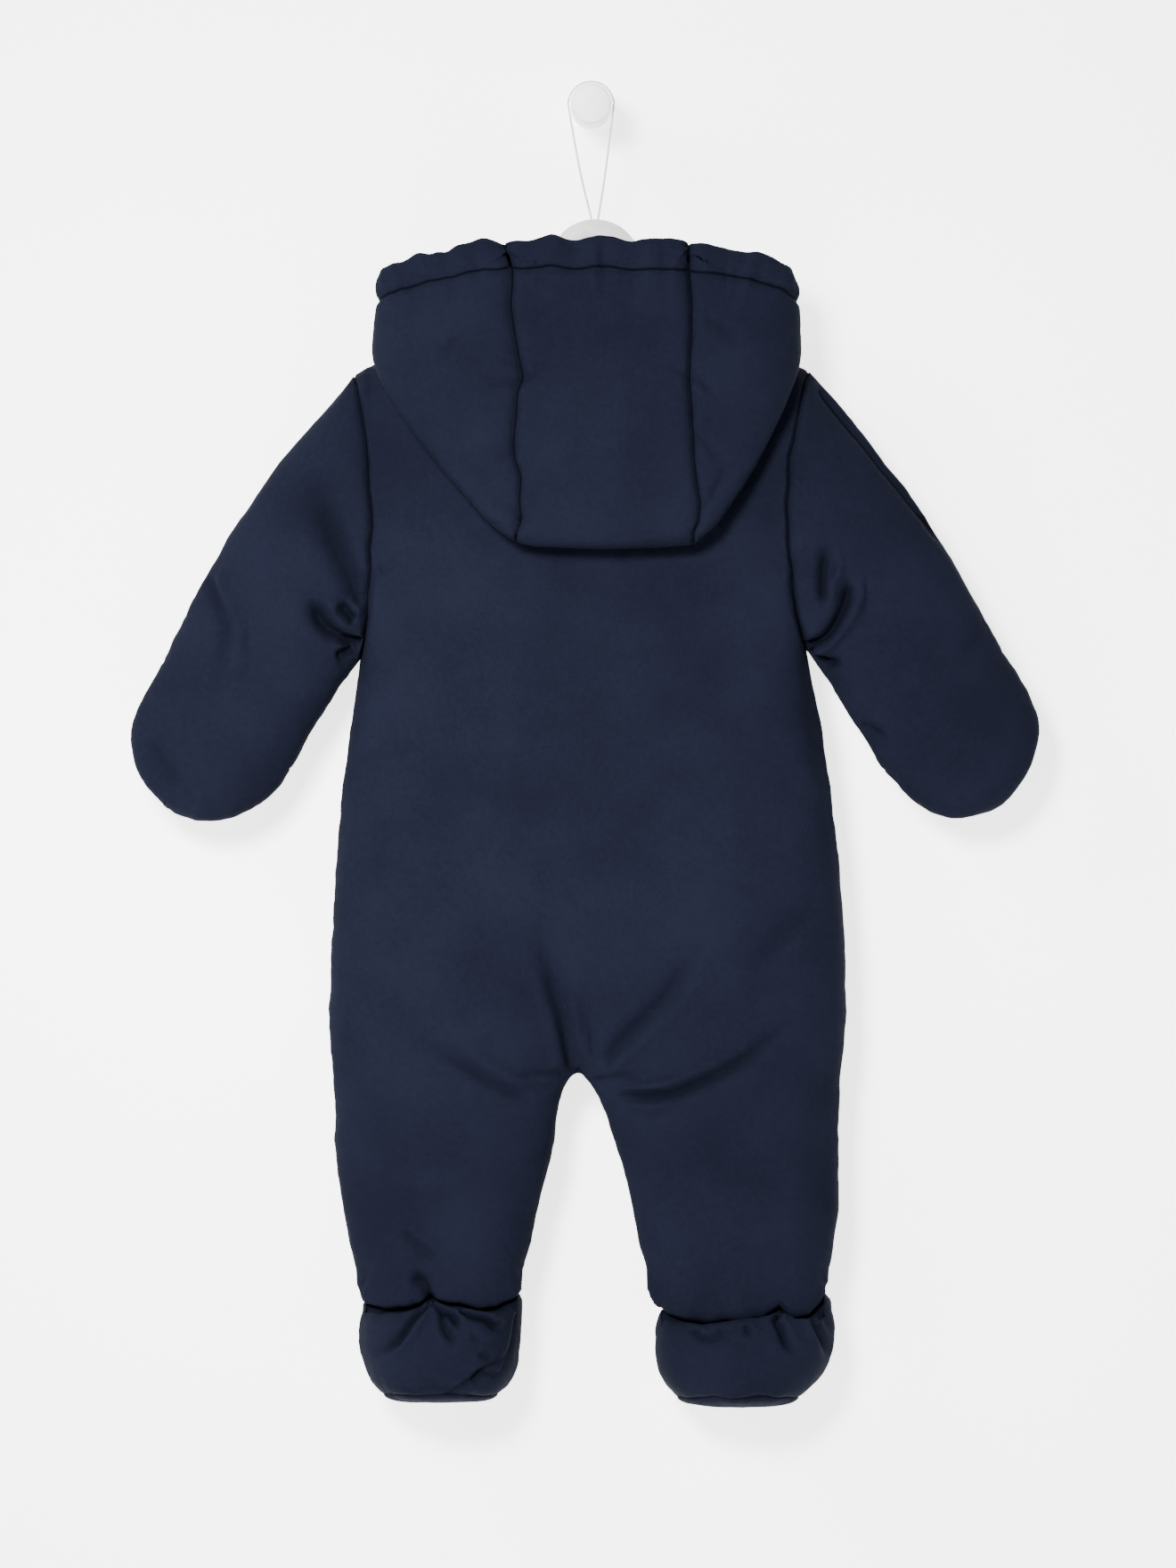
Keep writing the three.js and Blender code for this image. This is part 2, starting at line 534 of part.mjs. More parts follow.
// The edge goes up and down a little between the gathers
function hoodGrid(turns) {
  return hoodSpans.map((span) =>
    turns.map((turn) => {
      const t = Math.max(0, (span - hemSpan) / (1 - hemSpan));
      const wave = Math.sin(turn * 41 + 0.7) + 0.7 * Math.sin(turn * 67 + 2);
      const ends = ease((1 - Math.abs(turn)) / 0.1);
      return add(hoodPoint(turn, span), [0, -0.8 * wave * t * ends, 1.3 * wave * t * ends]);
    }),
  );
}

// Welds the faces of several pieces into one surface, so that sewn edges share points and
// directions, and gives each piece its own wall, held back from its seams by half the gap
function sew(pieces) {
  const points = [];
  const normals = [];
  const ids = new Map();
  const idOf = (p) => {
    const key = p.map((value) => Math.round(value * 100)).join();
    if (!ids.has(key)) {
      ids.set(key, points.length);
      points.push(p);
      normals.push([0, 0, 0]);
    }
    return ids.get(key);
  };
  for (const piece of pieces) {
    piece.polygons = piece.faces
      .map((face) => face.map(idOf))
      .map((face) => face.filter((id, n) => id !== face[(n + 1) % face.length]))
      .filter((face) => face.length > 2);
    for (const face of piece.polygons) {
      const [a, b, c, d] = [0, 1, 2, face.length - 1].map((n) => points[face[n]]);
      const normal = face.length > 3 ? cross(from(c, a), from(d, b)) : cross(from(b, a), from(c, a));
      for (const id of face) normals[id] = add(normals[id], normal);
    }
  }
  return pieces.map((piece) => ({ name: piece.name, geometry: thicken(piece, points, normals.map(unit)) }));
}

function thicken({ polygons, thick = () => wall }, points, normals) {
  const edges = new Map();
  for (const face of polygons) {
    face.forEach((id, n) => edges.set(id + "," + face[(n + 1) % face.length], face));
  }
  const rim = [...edges.keys()].map((key) => key.split(",").map(Number)).filter(([a, b]) => !edges.has(b + "," + a));
  const shift = new Map();
  for (const [a, b] of rim) {
    const face = edges.get(a + "," + b);
    const middle = face.reduce((sum, id) => add(sum, points[id], 1 / face.length), [0, 0, 0]);
    const tangent = unit(from(points[b], points[a]));
    for (const id of [a, b]) {
      const normal = normals[id];
      let inward = from(middle, points[id]);
      inward = add(inward, tangent, -dot(inward, tangent));
      inward = add(inward, normal, -dot(inward, normal));
      shift.set(id, add(shift.get(id) || [0, 0, 0], unit(inward), seamGap / 2));
    }
  }
  const used = [...new Set(polygons.flat())];
  const place = new Map(used.map((id, n) => [id, n]));
  const sewn = [...shift.keys()].map((id) => points[id]);
  const position = [];
  for (const layer of [0, 1]) {
    for (const id of used) {
      let moved = shift.get(id) || [0, 0, 0];
      const length = Math.hypot(...moved);
      if (length > 0) moved = moved.map((value) => (value / length) * Math.max(length * 0.55, seamGap / 2));
      const reach = Math.min(...sewn.map((p) => Math.hypot(...from(p, points[id]))));
      const full = thick(points[id]);
      const depth = mix(Math.min(seamWall, full), full, ease(reach / seamReach));
      position.push(...add(add(points[id], normals[id], -depth * layer), moved));
    }
  }
  const index = [];
  const inner = used.length;
  for (const face of polygons) {
    const f = face.map((id) => place.get(id));
    for (let n = 1; n + 1 < f.length; n++) {
      index.push(f[0], f[n], f[n + 1]);
      index.push(inner + f[0], inner + f[n + 1], inner + f[n]);
    }
  }
  for (const [a, b] of rim) {
    const [p, q] = [place.get(a), place.get(b)];
    if (a < b) index.push(p, inner + p, inner + q, p, inner + q, q);
    else index.push(p, inner + p, q, inner + p, inner + q, q);
  }
  const geometry = new THREE.BufferGeometry();
  geometry.setAttribute("position", new THREE.Float32BufferAttribute(position, 3));
  geometry.setIndex(index);
  return geometry;
}

// Solids joined and cut
function solid(geometry) {
  const bare = geometry.clone();
  bare.deleteAttribute("normal");
  bare.deleteAttribute("uv");
  const merged = mergeVertices(bare, 1e-4);
  return new wasm.Manifold(
    new wasm.Mesh({
      numProp: 3,
      vertProperties: new Float32Array(merged.attributes.position.array),
      triVerts: new Uint32Array(merged.index.array),
    }),
  );
}

function geometryOf(made) {
  const mesh = made.getMesh();
  const geometry = new THREE.BufferGeometry();
  geometry.setAttribute("position", new THREE.BufferAttribute(mesh.vertProperties, 3));
  geometry.setIndex(new THREE.BufferAttribute(mesh.triVerts, 1));
  return geometry;
}

// A round bar along X
function bar(radius, length) {
  return new THREE.CylinderGeometry(radius, radius, length, 20).rotateZ(Math.PI / 2);
}

function makePeg() {
  const { radius, length, chamfer } = peg;
  const profile = [
    [0, -length],
    [radius - chamfer, -length],
    [radius, chamfer - length],
    [radius, 0],
    [0, 0],
  ].map(([r, y]) => new THREE.Vector2(r, y));
  return new THREE.LatheGeometry(profile, 32);
}

// The hanger is cut from board: a round head, and arms that follow the shoulder seams
function makeHanger() {
  const { headRadius, headX, topZ, armEnd, armHigh, holeRadius, thick } = hanger;
  const headZ = topZ - headRadius;
  const armZ = (side, x) => {
    const tip = sleeves[side][0];
    const edge = neckPoint(90, side)[0];
    return shoulderLine((x - edge) / (tip.topX - edge), tip) - hanger.under;
  };
  const shape = new THREE.Shape();
  shape.absarc(headX, headZ, headRadius, Math.PI * 1.12, -Math.PI * 0.12, true);
  shape.lineTo(headX + 27, -112);
  shape.lineTo(35, -136);
  for (let x = 46; x <= armEnd; x += 15) shape.lineTo(x, armZ("right", x));
  shape.lineTo(armEnd + 3, armZ("right", armEnd) - 6);
  shape.lineTo(armEnd, armZ("right", armEnd) - 13);
  shape.quadraticCurveTo(45, -134 - armHigh, 0, -132 - armHigh);
  shape.quadraticCurveTo(-45, -134 - armHigh, -armEnd, armZ("left", -armEnd) - 13);
  shape.lineTo(-armEnd - 3, armZ("left", -armEnd) - 6);
  for (let x = armEnd; x >= 50; x -= 14) shape.lineTo(-x, armZ("left", -x));
  shape.lineTo(-39, -136);
  shape.lineTo(headX - 27, -112);
  const hole = new THREE.Path();
  hole.absarc(headX, cord.holeZ, holeRadius, 0, Math.PI * 2);
  shape.holes.push(hole);
  const board = new THREE.ExtrudeGeometry(shape, { depth: thick, bevelEnabled: false, curveSegments: 10 });
  return board.rotateX(Math.PI / 2).translate(0, midY + thick / 2, 0);
}

// The cord goes over the peg and through the hanger's hole, and its ends meet in a knot
function makeCord() {
  const { radius, y, holeZ } = cord;
  const x0 = hanger.headX;
  const reach = peg.radius + seamGap + radius;
  const bearing = holeZ + 1.4; // the cord bears on the top of the hole
  const behind = midY + hanger.thick / 2 + radius + 0.6;
  const knotY = midY - hanger.thick / 2 - 2.75;
  const near = (side) => [
    [x0 + side * 0.8, knotY, bearing - 0.6],
    [x0 + side * 0.9, midY - 1, bearing - 0.2],
    [x0 + side * 0.95, midY + 1.2, bearing - 0.2],
    [x0 + side * 1.05, behind, bearing + 0.6],
    [x0 + side * 1.2, behind + 0.3, bearing + 4],
    [x0 + side * 1.5, behind + 0.2, holeZ + 11],
    [mix(x0, side * reach, 0.55), mix(behind, y, 0.6), -40],
  ];
  const over = [];
  for (let degrees = -6; degrees <= 186; degrees += 16) {
    const angle = (degrees * Math.PI) / 180;
    over.push([-reach * Math.cos(angle), y, reach * Math.sin(angle)]);
  }
  const route = [...near(-1), ...over, ...near(1).reverse()].map((p) => new THREE.Vector3(...p));
  const path = new THREE.CatmullRomCurve3(route, false, "centripetal");
  const ring = new THREE.Shape();
  ring.absarc(0, 0, radius, 0, Math.PI * 2);
  const tube = new THREE.ExtrudeGeometry(ring, { steps: 76, extrudePath: path, curveSegments: 4 });
  const knot = new THREE.SphereGeometry(2.4, 12, 8).translate(x0, knotY, bearing - 0.6);
  return geometryOf(solid(tube).add(solid(knot)));
}

// A flat chain laid on the tape of the zip
function makeChain(line) {
  const half = zip.chainWidth / 2;
  const rings = line.map(({ p, n }) => {
    const base = add(p, n, seamGap);
    const top = add(p, n, seamGap + zip.chainHigh);
    return [
      add(base, [half, 0, 0]),
      add(top, [half * 0.8, 0, 0]),
      add(top, [-half * 0.8, 0, 0]),
      add(base, [-half, 0, 0]),
    ];
  });
  const position = rings.flat(2);
  const index = [];
  for (let i = 0; i + 1 < rings.length; i++) {
    for (let k = 0; k < 4; k++) {
      const [a, b] = [i * 4 + k, i * 4 + ((k + 1) % 4)];
      index.push(a, b + 4, b, a, a + 4, b + 4);
    }
  }
  const end = (rings.length - 1) * 4;
  index.push(0, 1, 2, 0, 2, 3, end, end + 2, end + 1, end, end + 3, end + 2);
  const geometry = new THREE.BufferGeometry();
  geometry.setAttribute("position", new THREE.Float32BufferAttribute(position, 3));
  geometry.setIndex(index);
  return geometry;
}

const slider = { wide: 9, high: 12, thick: 2.6, pin: 1, ear: 1.2, between: 5, eye: 2.3, clear: 0.3, pull: 20 };
const pinHigh = slider.thick + slider.eye + 0.5; // middle of the pin above the slider's seat

function box(wide, deep, high, x, y, z) {
  return solid(new THREE.BoxGeometry(wide, deep, high).translate(x, y, z));
}

// The slider has two ears that hold a pin, and the pull turns on the pin
function makeSlider() {
  const { wide, high, thick, pin, ear, between } = slider;
  const earHigh = pinHigh + pin + 0.4;
  let body = box(wide, thick, high, 0, thick / 2, 0);
  for (const side of [-1, 1]) {
    body = body.add(box(ear, earHigh, 5, (side * (between + ear)) / 2, earHigh / 2, 0));
  }
  return geometryOf(body.add(solid(bar(pin, between + ear).translate(0, pinHigh, 0))));
}

function makePull() {
  const { pin, between, eye, clear, pull } = slider;
  const long = between - 2 * 0.4;
  const neckLong = 7;
  const blade = box(7, 1.6, pull - neckLong, 0, 0, -(pull + neckLong) / 2);
  const tongue = box(long, 1.6, neckLong, 0, 0, -eye / 2 - neckLong / 2);
  const bore = solid(bar(pin + clear, long + 4));
  return geometryOf(solid(bar(eye, long)).add(tongue).add(blade).subtract(bore));
}

// The whole garment but the hood is one surface
const backTrunk = trunk("back");
const frontTrunk = zipColumns(trunk("front"));
const suit = [
  {
    name: "back",
    faces: [
      ...gridFaces(backTrunk),
      ...gridFaces(legGrid("left", "back")),
      ...gridFaces(legGrid("right", "back")),
    ],
  },
  {
    name: "front_left",
    faces: [...gridFaces(frontTrunk.left, true), ...gridFaces(legGrid("left", "front"), true)],
  },
  {
    name: "front_right",
    faces: [...gridFaces(frontTrunk.right, true), ...gridFaces(legGrid("right", "front"), true)],
  },
];
const zipLine = [];
suit.push({
  name: "zip_tape",
  thick: () => zip.tapeWall,
  faces: gridFaces(frontTrunk.tape, true),
});
for (const side of ["left", "right"]) {
  const turned = side === "left";
  const last = sleeves[side].length - 1;
  suit.push(
    { name: `sleeve_${side}_back`, faces: gridFaces(sleeveGrid(side, "back", 0, last), !turned) },
    { name: `sleeve_${side}_front`, faces: gridFaces(sleeveGrid(side, "front", 0, wristRow), turned) },
    { name: `mitt_${side}_palm`, faces: gridFaces(sleeveGrid(side, "front", wristRow, last), turned) },
    { name: `foot_${side}_heel`, faces: gridFaces(footGrid(side, "back")) },
    { name: `foot_${side}_toe`, faces: gridFaces(footGrid(side, "front"), true) },
    { name: `foot_${side}_sole`, faces: gridFaces(soleGrid(side)) },
  );
}

// The hood hangs from the neck seam
const hoodPieces = [
  { name: "hood_centre", thick: hoodWall, faces: gridFaces(hoodGrid(centreTurns), true) },
  { name: "hood_left", thick: hoodWall, faces: gridFaces(hoodGrid(sideTurns(-1))) },
  { name: "hood_right", thick: hoodWall, faces: gridFaces(hoodGrid(sideTurns(1)), true) },
];

// Zip chain and slider follow the tape's middle line
const tapeMiddle = frontTrunk.tape.slice(0, -1).map((row) => row[1]);
tapeMiddle.forEach((p, i) => {
  const a = tapeMiddle[Math.max(0, i - 1)];
  const b = tapeMiddle[Math.min(tapeMiddle.length - 1, i + 1)];
  zipLine.push({ p, n: unit([0, a[2] - b[2], b[1] - a[1]]) });
});

const navy = new THREE.MeshStandardMaterial({ color: 0x252d42, roughness: 0.85, metalness: 0 });
const navyTape = new THREE.MeshStandardMaterial({ color: 0x1d2436, roughness: 0.7, metalness: 0 });
const zipMetal = new THREE.MeshStandardMaterial({ color: 0x2a3040, roughness: 0.45, metalness: 0.2 });
const whiteBoard = new THREE.MeshStandardMaterial({ color: 0xdad9d8, roughness: 0.5, metalness: 0 });
const whitePaint = new THREE.MeshStandardMaterial({ color: 0xebe9ea, roughness: 0.4, metalness: 0 });
const paleCord = new THREE.MeshStandardMaterial({ color: 0xe4dfd2, roughness: 0.9, metalness: 0 });

const snowsuit = new THREE.Group();
function place(name, geometry, material) {
  const mesh = new THREE.Mesh(geometry, material);
  mesh.name = name;
  snowsuit.add(mesh);
  return mesh;
}

for (const { name, geometry } of [...sew(suit), ...sew(hoodPieces)]) {
  place(name, geometry, name === "zip_tape" ? navyTape : navy);
}
place("zip_chain", makeChain(zipLine), zipMetal);

// The slider sits near the top of the zip, square to it, and the pull hangs straight down
const seat = zipLine[2];
const slideBack = add(seat.p, seat.n, seamGap * 2 + zip.chainHigh);
const slide = place("zip_slider", makeSlider(), zipMetal);
slide.position.set(...slideBack);
slide.rotation.x = Math.atan2(seat.n[2], seat.n[1]);
place("zip_pull", makePull(), zipMetal).position.set(...add(slideBack, seat.n, pinHigh));

place("peg", makePeg(), whitePaint);
place("hanger", makeHanger(), whiteBoard);
place("hanger_cord", makeCord(), paleCord);

export default snowsuit;
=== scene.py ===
import math

import bmesh
import bpy
import numpy as np
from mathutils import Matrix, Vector
from mathutils.kdtree import KDTree


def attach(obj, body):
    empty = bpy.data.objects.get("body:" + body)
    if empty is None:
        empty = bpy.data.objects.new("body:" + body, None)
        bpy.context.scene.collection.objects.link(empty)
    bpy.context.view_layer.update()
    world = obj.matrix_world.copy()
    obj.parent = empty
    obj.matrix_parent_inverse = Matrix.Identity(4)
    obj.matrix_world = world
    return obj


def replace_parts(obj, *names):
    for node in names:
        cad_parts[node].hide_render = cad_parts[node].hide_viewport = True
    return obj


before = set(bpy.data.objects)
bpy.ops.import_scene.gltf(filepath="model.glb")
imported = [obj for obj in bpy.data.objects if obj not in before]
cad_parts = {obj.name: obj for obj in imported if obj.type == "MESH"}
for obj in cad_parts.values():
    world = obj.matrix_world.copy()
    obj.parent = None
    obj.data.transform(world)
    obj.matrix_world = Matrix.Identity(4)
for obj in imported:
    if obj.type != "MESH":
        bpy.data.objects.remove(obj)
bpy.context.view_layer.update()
mm = 0.001
midY = -56.0  # the suit's middle plane, in millimetres from the wall

studio = {
    "cameraDistance": 9.0,  # metres in front of the suit's middle plane
    "frameHeight": 0.9152,  # what the picture takes in there, in metres
    "aim": (-0.0018, -0.060, -0.3968),
    "wallColour": (0.905, 0.905, 0.905),
    "floorZ": -1.15,
    "wallY": 0.0003,  # just behind the peg's flat end
    "wallGlow": 2.6,  # light that the wall gives off by itself, so that it stays pale in the picture
    "keyPower": 152.0,
    "keySize": 0.7,
    "keyPlace": (-0.62, -3.0, 0.42),
    "spotPower": 1040.0,  # a soft spot beside the key light, brightest at the middle of the back
    "spotAt": (-0.10, 0, -0.40),
    "spotAngle": 19.8,
    "fillPower": 96.0,
    "backPower": 45.0,
    "skyStrength": 0.07,
}


def oneSidedPaint(name, colour, glow):
    # Seen from behind, the wall and the floor are clear, so that the suit shows from there too
    material = bpy.data.materials.new(name)
    material.use_nodes = True
    nodes, links = material.node_tree.nodes, material.node_tree.links
    shader = nodes["Principled BSDF"]
    shader.inputs["Base Color"].default_value = (*colour, 1)
    shader.inputs["Roughness"].default_value = 0.95
    shader.inputs["Specular IOR Level"].default_value = 0.1
    shader.inputs["Emission Color"].default_value = (1, 1, 1, 1)
    shader.inputs["Emission Strength"].default_value = glow
    clear = nodes.new("ShaderNodeBsdfTransparent")
    side = nodes.new("ShaderNodeNewGeometry")
    either = nodes.new("ShaderNodeMixShader")
    links.new(side.outputs["Backfacing"], either.inputs["Fac"])
    links.new(shader.outputs["BSDF"], either.inputs[1])
    links.new(clear.outputs["BSDF"], either.inputs[2])
    links.new(either.outputs["Shader"], nodes["Material Output"].inputs["Surface"])
    return material


def stagePlane(name, corners, material):
    mesh = bpy.data.meshes.new(name)
    mesh.from_pydata(corners, [], [(0, 1, 2, 3)])
    mesh.materials.append(material)
    plane = bpy.data.objects.new(name, mesh)
    bpy.context.scene.collection.objects.link(plane)
    plane.visible_shadow = False


def addLight(name, kind, power, place, target, **settings):
    data = bpy.data.lights.new(name, kind)
    data.energy = power
    for key, value in settings.items():
        setattr(data, key, value)
    light = bpy.data.objects.new(name, data)
    bpy.context.scene.collection.objects.link(light)
    light.location = place
    light.rotation_euler = (Vector(target) - Vector(place)).to_track_quat("-Z", "Y").to_euler()
    light.visible_camera = False


def makeStudio(s):
    aim = Vector(s["aim"])
    data = bpy.data.cameras.new("camera")
    data.sensor_width = 36
    data.lens = data.sensor_width * s["cameraDistance"] / s["frameHeight"]
    data.clip_end = 60
    camera = bpy.data.objects.new("camera", data)
    camera.location = aim + Vector((0, -s["cameraDistance"], 0))
    camera.rotation_euler = (math.pi / 2, 0, 0)
    bpy.context.scene.collection.objects.link(camera)
    bpy.context.scene.camera = camera

    paint = oneSidedPaint("wallPaint", s["wallColour"], s["wallGlow"])
    low, back = s["floorZ"], s["wallY"]
    stagePlane("wall", [(3, back, 2.2), (-3, back, 2.2), (-3, back, low), (3, back, low)], paint)
    floor = [(-3, -4, low), (3, -4, low), (3, back, low), (-3, back, low)]
    stagePlane("floor", floor, oneSidedPaint("floorPaint", s["wallColour"], 0.0))

    middle = (0, 0, aim.z)
    addLight("keyLight", "AREA", s["keyPower"], s["keyPlace"], middle,
             shape="DISK", size=s["keySize"], color=(1, 0.995, 0.985))
    addLight("spotLight", "SPOT", s["spotPower"], s["keyPlace"], s["spotAt"],
             shadow_soft_size=s["keySize"] / 2, spot_size=math.radians(s["spotAngle"]), spot_blend=1.0)
    for name, power, size, place, colour in (
        ("fillLeft", s["fillPower"], 1.5, (-2.3, -1.9, 1.5), (0.92, 0.96, 1)),
        ("fillRight", s["fillPower"] * 0.12, 1.6, (2.6, -2.2, 0.3), (1, 0.98, 0.96)),
        ("backLight", s["backPower"], 1.4, (0.8, 2.6, 0.5), (1, 1, 1)),
    ):
        addLight(name, "AREA", power, place, middle, shape="DISK", size=size, color=colour)
    world = bpy.data.worlds.new("studio")
    world.use_nodes = True
    sky = world.node_tree.nodes["Background"]
    sky.inputs["Color"].default_value = (0.96, 0.97, 1, 1)
    sky.inputs["Strength"].default_value = s["skyStrength"]
    bpy.context.scene.world = world


makeStudio(studio)
print("studio ready")


def startMaterial(name, colour, roughness):
    material = bpy.data.materials.new(name)
    material.use_nodes = True
    tree = material.node_tree
    shader = tree.nodes["Principled BSDF"]
    shader.inputs["Base Color"].default_value = (*colour, 1)
    shader.inputs["Roughness"].default_value = roughness
    place = tree.nodes.new("ShaderNodeTexCoord").outputs["Object"]
    return material, tree, shader, place


def grain(tree, place, size, detail=2.0, rough=0.5):
    # Noise whose blotches are about this size, in millimetres
    noise = tree.nodes.new("ShaderNodeTexNoise")
    noise.inputs["Scale"].default_value = 1 / (size * mm)
    noise.inputs["Detail"].default_value = detail
    noise.inputs["Roughness"].default_value = rough
    tree.links.new(place, noise.inputs["Vector"])
    return noise.outputs["Fac"]


def threads(tree, place, pitch, turn, wobble=1.5):
    # Parallel threads at this pitch, in millimetres, turned in the plane of the wall
    mapping = tree.nodes.new("ShaderNodeMapping")
    mapping.inputs["Rotation"].default_value = (0, turn, 0)
    wave = tree.nodes.new("ShaderNodeTexWave")
    wave.bands_direction = "X"
    wave.inputs["Scale"].default_value = math.pi / 10 / (pitch * mm)
    wave.inputs["Distortion"].default_value = wobble
    wave.inputs["Detail"].default_value = 1
    wave.inputs["Detail Scale"].default_value = 2
    tree.links.new(place, mapping.inputs["Vector"])
    tree.links.new(mapping.outputs["Vector"], wave.inputs["Vector"])
    return wave.outputs["Fac"]


def blendValues(tree, kind, a, b):
    node = tree.nodes.new("ShaderNodeMath")
    node.operation = kind
    for slot, value in ((0, a), (1, b)):
        if isinstance(value, (int, float)):
            node.inputs[slot].default_value = value
        else:
            tree.links.new(value, node.inputs[slot])
    return node.outputs["Value"]


def scaledBy(tree, value, factor):
    return blendValues(tree, "MULTIPLY", value, factor)


def sumOf(tree, a, b):
    return blendValues(tree, "ADD", a, b)


def colourBetween(tree, factor, dark, light, low=0.35, high=0.65):
    ramp = tree.nodes.new("ShaderNodeValToRGB")
    ramp.color_ramp.elements[0].position = low
    ramp.color_ramp.elements[0].color = (*dark, 1)
    ramp.color_ramp.elements[1].position = high
    ramp.color_ramp.elements[1].color = (*light, 1)
    tree.links.new(factor, ramp.inputs["Fac"])
    return ramp.outputs["Color"]


def addBump(tree, shader, height, depth, strength=1.0):
    # Depth is in millimetres
    bump = tree.nodes.new("ShaderNodeBump")
    bump.inputs["Strength"].default_value = strength
    bump.inputs["Distance"].default_value = depth * mm
    tree.links.new(height, bump.inputs["Height"])
    tree.links.new(bump.outputs["Normal"], shader.inputs["Normal"])


def carried(tree, name):
    # A value that the mesh carries at each of its points
    node = tree.nodes.new("ShaderNodeAttribute")
    node.attribute_name = name
    return node.outputs["Fac"]


def fading(tree, gap, strength, reach):
    # This strong where the gap is nothing and gone at this reach, in millimetres
    node = tree.nodes.new("ShaderNodeMapRange")
    node.interpolation_type = "SMOOTHSTEP"
    node.inputs["From Max"].default_value = reach
    node.inputs["To Min"].default_value = strength
    node.inputs["To Max"].default_value = 0
    tree.links.new(gap, node.inputs["Value"])
    return node.outputs["Result"]


navyLook = {
    "dark": (0.0038, 0.0045, 0.0093),
    "light": (0.0054, 0.0064, 0.0131),
    "patch": 55,  # size of the slight changes of shade, in millimetres
    "fleck": 2.2,
    "fuzz": 0.9,
    "deep": (0.0006, 0.0008, 0.0016),  # painted shade in the bottom of seams, beside stitches and in sharp creases
    # painted shade: how far the colour at a seam goes towards the deep colour
    "paintedSeamShade": 0.92,
    "seamWide": 1.25,  # millimetres to either side
    "paintedLineShade": 0.9,  # painted shade, the same beside rows of stitches
    "lineWide": 1.2,
    "grooveDeep": 0.7,
    "threadPitch": 0.55,
    "weaveDeep": 0.09,
    "sheen": 0.003,
    "sheenColour": (0.62, 0.72, 1.0),
}


def navyCloth(look):
    # Matt brushed microfibre with a fine weave
    material, tree, shader, place = startMaterial("navyMicrofibre", look["light"], 0.86)
    patch = grain(tree, place, look["patch"], 3)
    fleck = grain(tree, place, look["fleck"], 2)
    shade = scaledBy(tree, sumOf(tree, patch, scaledBy(tree, fleck, 0.6)), 0.62)
    fuzz = blendValues(tree, "SUBTRACT", grain(tree, place, look["fuzz"], 2, 0.7), 0.5)
    shade = sumOf(tree, shade, scaledBy(tree, fuzz, 0.35))
    colour = colourBetween(tree, shade, look["dark"], look["light"], 0.36, 0.64)
    # painted shade: the colour darkens where less light reaches the bottom of seams, rows of stitches and
    # sharp creases
    seamGap = carried(tree, "seamGap")
    lineGap = blendValues(tree, "ABSOLUTE", carried(tree, "lineGap"), 0)
    seam = fading(tree, seamGap, look["paintedSeamShade"], look["seamWide"])
    line = fading(tree, lineGap, look["paintedLineShade"], look["lineWide"])
    either = blendValues(tree, "MAXIMUM", seam, line)
    deep = blendValues(tree, "MAXIMUM", either, carried(tree, "fold"))
    # painted shade: the cloth's colour goes towards the deep colour by the strongest of these
    paintedShadeMix = tree.nodes.new("ShaderNodeMixRGB")
    paintedShadeMix.inputs["Color2"].default_value = (*look["deep"], 1)
    tree.links.new(deep, paintedShadeMix.inputs["Fac"])
    tree.links.new(colour, paintedShadeMix.inputs["Color1"])
    tree.links.new(paintedShadeMix.outputs["Color"], shader.inputs["Base Color"])
    warp = threads(tree, place, look["threadPitch"], 0.06)
    weft = threads(tree, place, look["threadPitch"], math.pi / 2 + 0.06)
    weave = scaledBy(tree, sumOf(tree, warp, weft), 0.5)
    nap = grain(tree, place, look["fuzz"], 3, 0.6)
    groove = sumOf(tree, fading(tree, seamGap, 1, 2.2), fading(tree, lineGap, 0.6, 1.6))
    sunk = scaledBy(tree, groove, -look["grooveDeep"] / look["weaveDeep"])
    fine = scaledBy(tree, sumOf(tree, weave, nap), 0.55)
    addBump(tree, shader, sumOf(tree, fine, sunk), look["weaveDeep"])
    shader.inputs["Specular IOR Level"].default_value = 0.015
    shader.inputs["Sheen Weight"].default_value = look["sheen"]
    shader.inputs["Sheen Roughness"].default_value = 0.45
    shader.inputs["Sheen Tint"].default_value = (*look["sheenColour"], 1)
    return material


def tapeCloth():
    # Herringbone tape of the zip
    material, tree, shader, place = startMaterial("zipTapeWeave", (0.0040, 0.0058, 0.0120), 0.8)
    left = threads(tree, place, 0.9, 0.6, 0.4)
    right = threads(tree, place, 0.9, -0.6, 0.4)
    rib = blendValues(tree, "MAXIMUM", left, right)
    colour = colourBetween(tree, rib, (0.0029, 0.0042, 0.0088), (0.0052, 0.0072, 0.0145), 0.2, 0.9)
    tree.links.new(colour, shader.inputs["Base Color"])
    addBump(tree, shader, rib, 0.16, 0.8)
    shader.inputs["Specular IOR Level"].default_value = 0.03
    return material


def threadCloth():
    material, tree, shader, place = startMaterial("navyThread", (0.0015, 0.0019, 0.0037), 0.6)
    ply = grain(tree, place, 0.35, 2)
    colour = colourBetween(tree, ply, (0.0010, 0.0013, 0.0026), (0.0020, 0.0025, 0.0048))
    tree.links.new(colour, shader.inputs["Base Color"])
    addBump(tree, shader, ply, 0.05, 0.6)
    shader.inputs["Specular IOR Level"].default_value = 0.04
    return material


def mouldedPlastic():
    material, tree, shader, place = startMaterial("zipMoulded", (0.0050, 0.0068, 0.0122), 0.38)
    mark = grain(tree, place, 0.8, 4, 0.6)
    colour = colourBetween(tree, mark, (0.0042, 0.0056, 0.0102), (0.0068, 0.0088, 0.0150))
    tree.links.new(colour, shader.inputs["Base Color"])
    rub = tree.nodes.new("ShaderNodeMapRange")
    rub.inputs["To Min"].default_value = 0.3
    rub.inputs["To Max"].default_value = 0.5
    tree.links.new(mark, rub.inputs["Value"])
    tree.links.new(rub.outputs["Result"], shader.inputs["Roughness"])
    addBump(tree, shader, mark, 0.03, 0.4)
    shader.inputs["Specular IOR Level"].default_value = 0.12
    return material


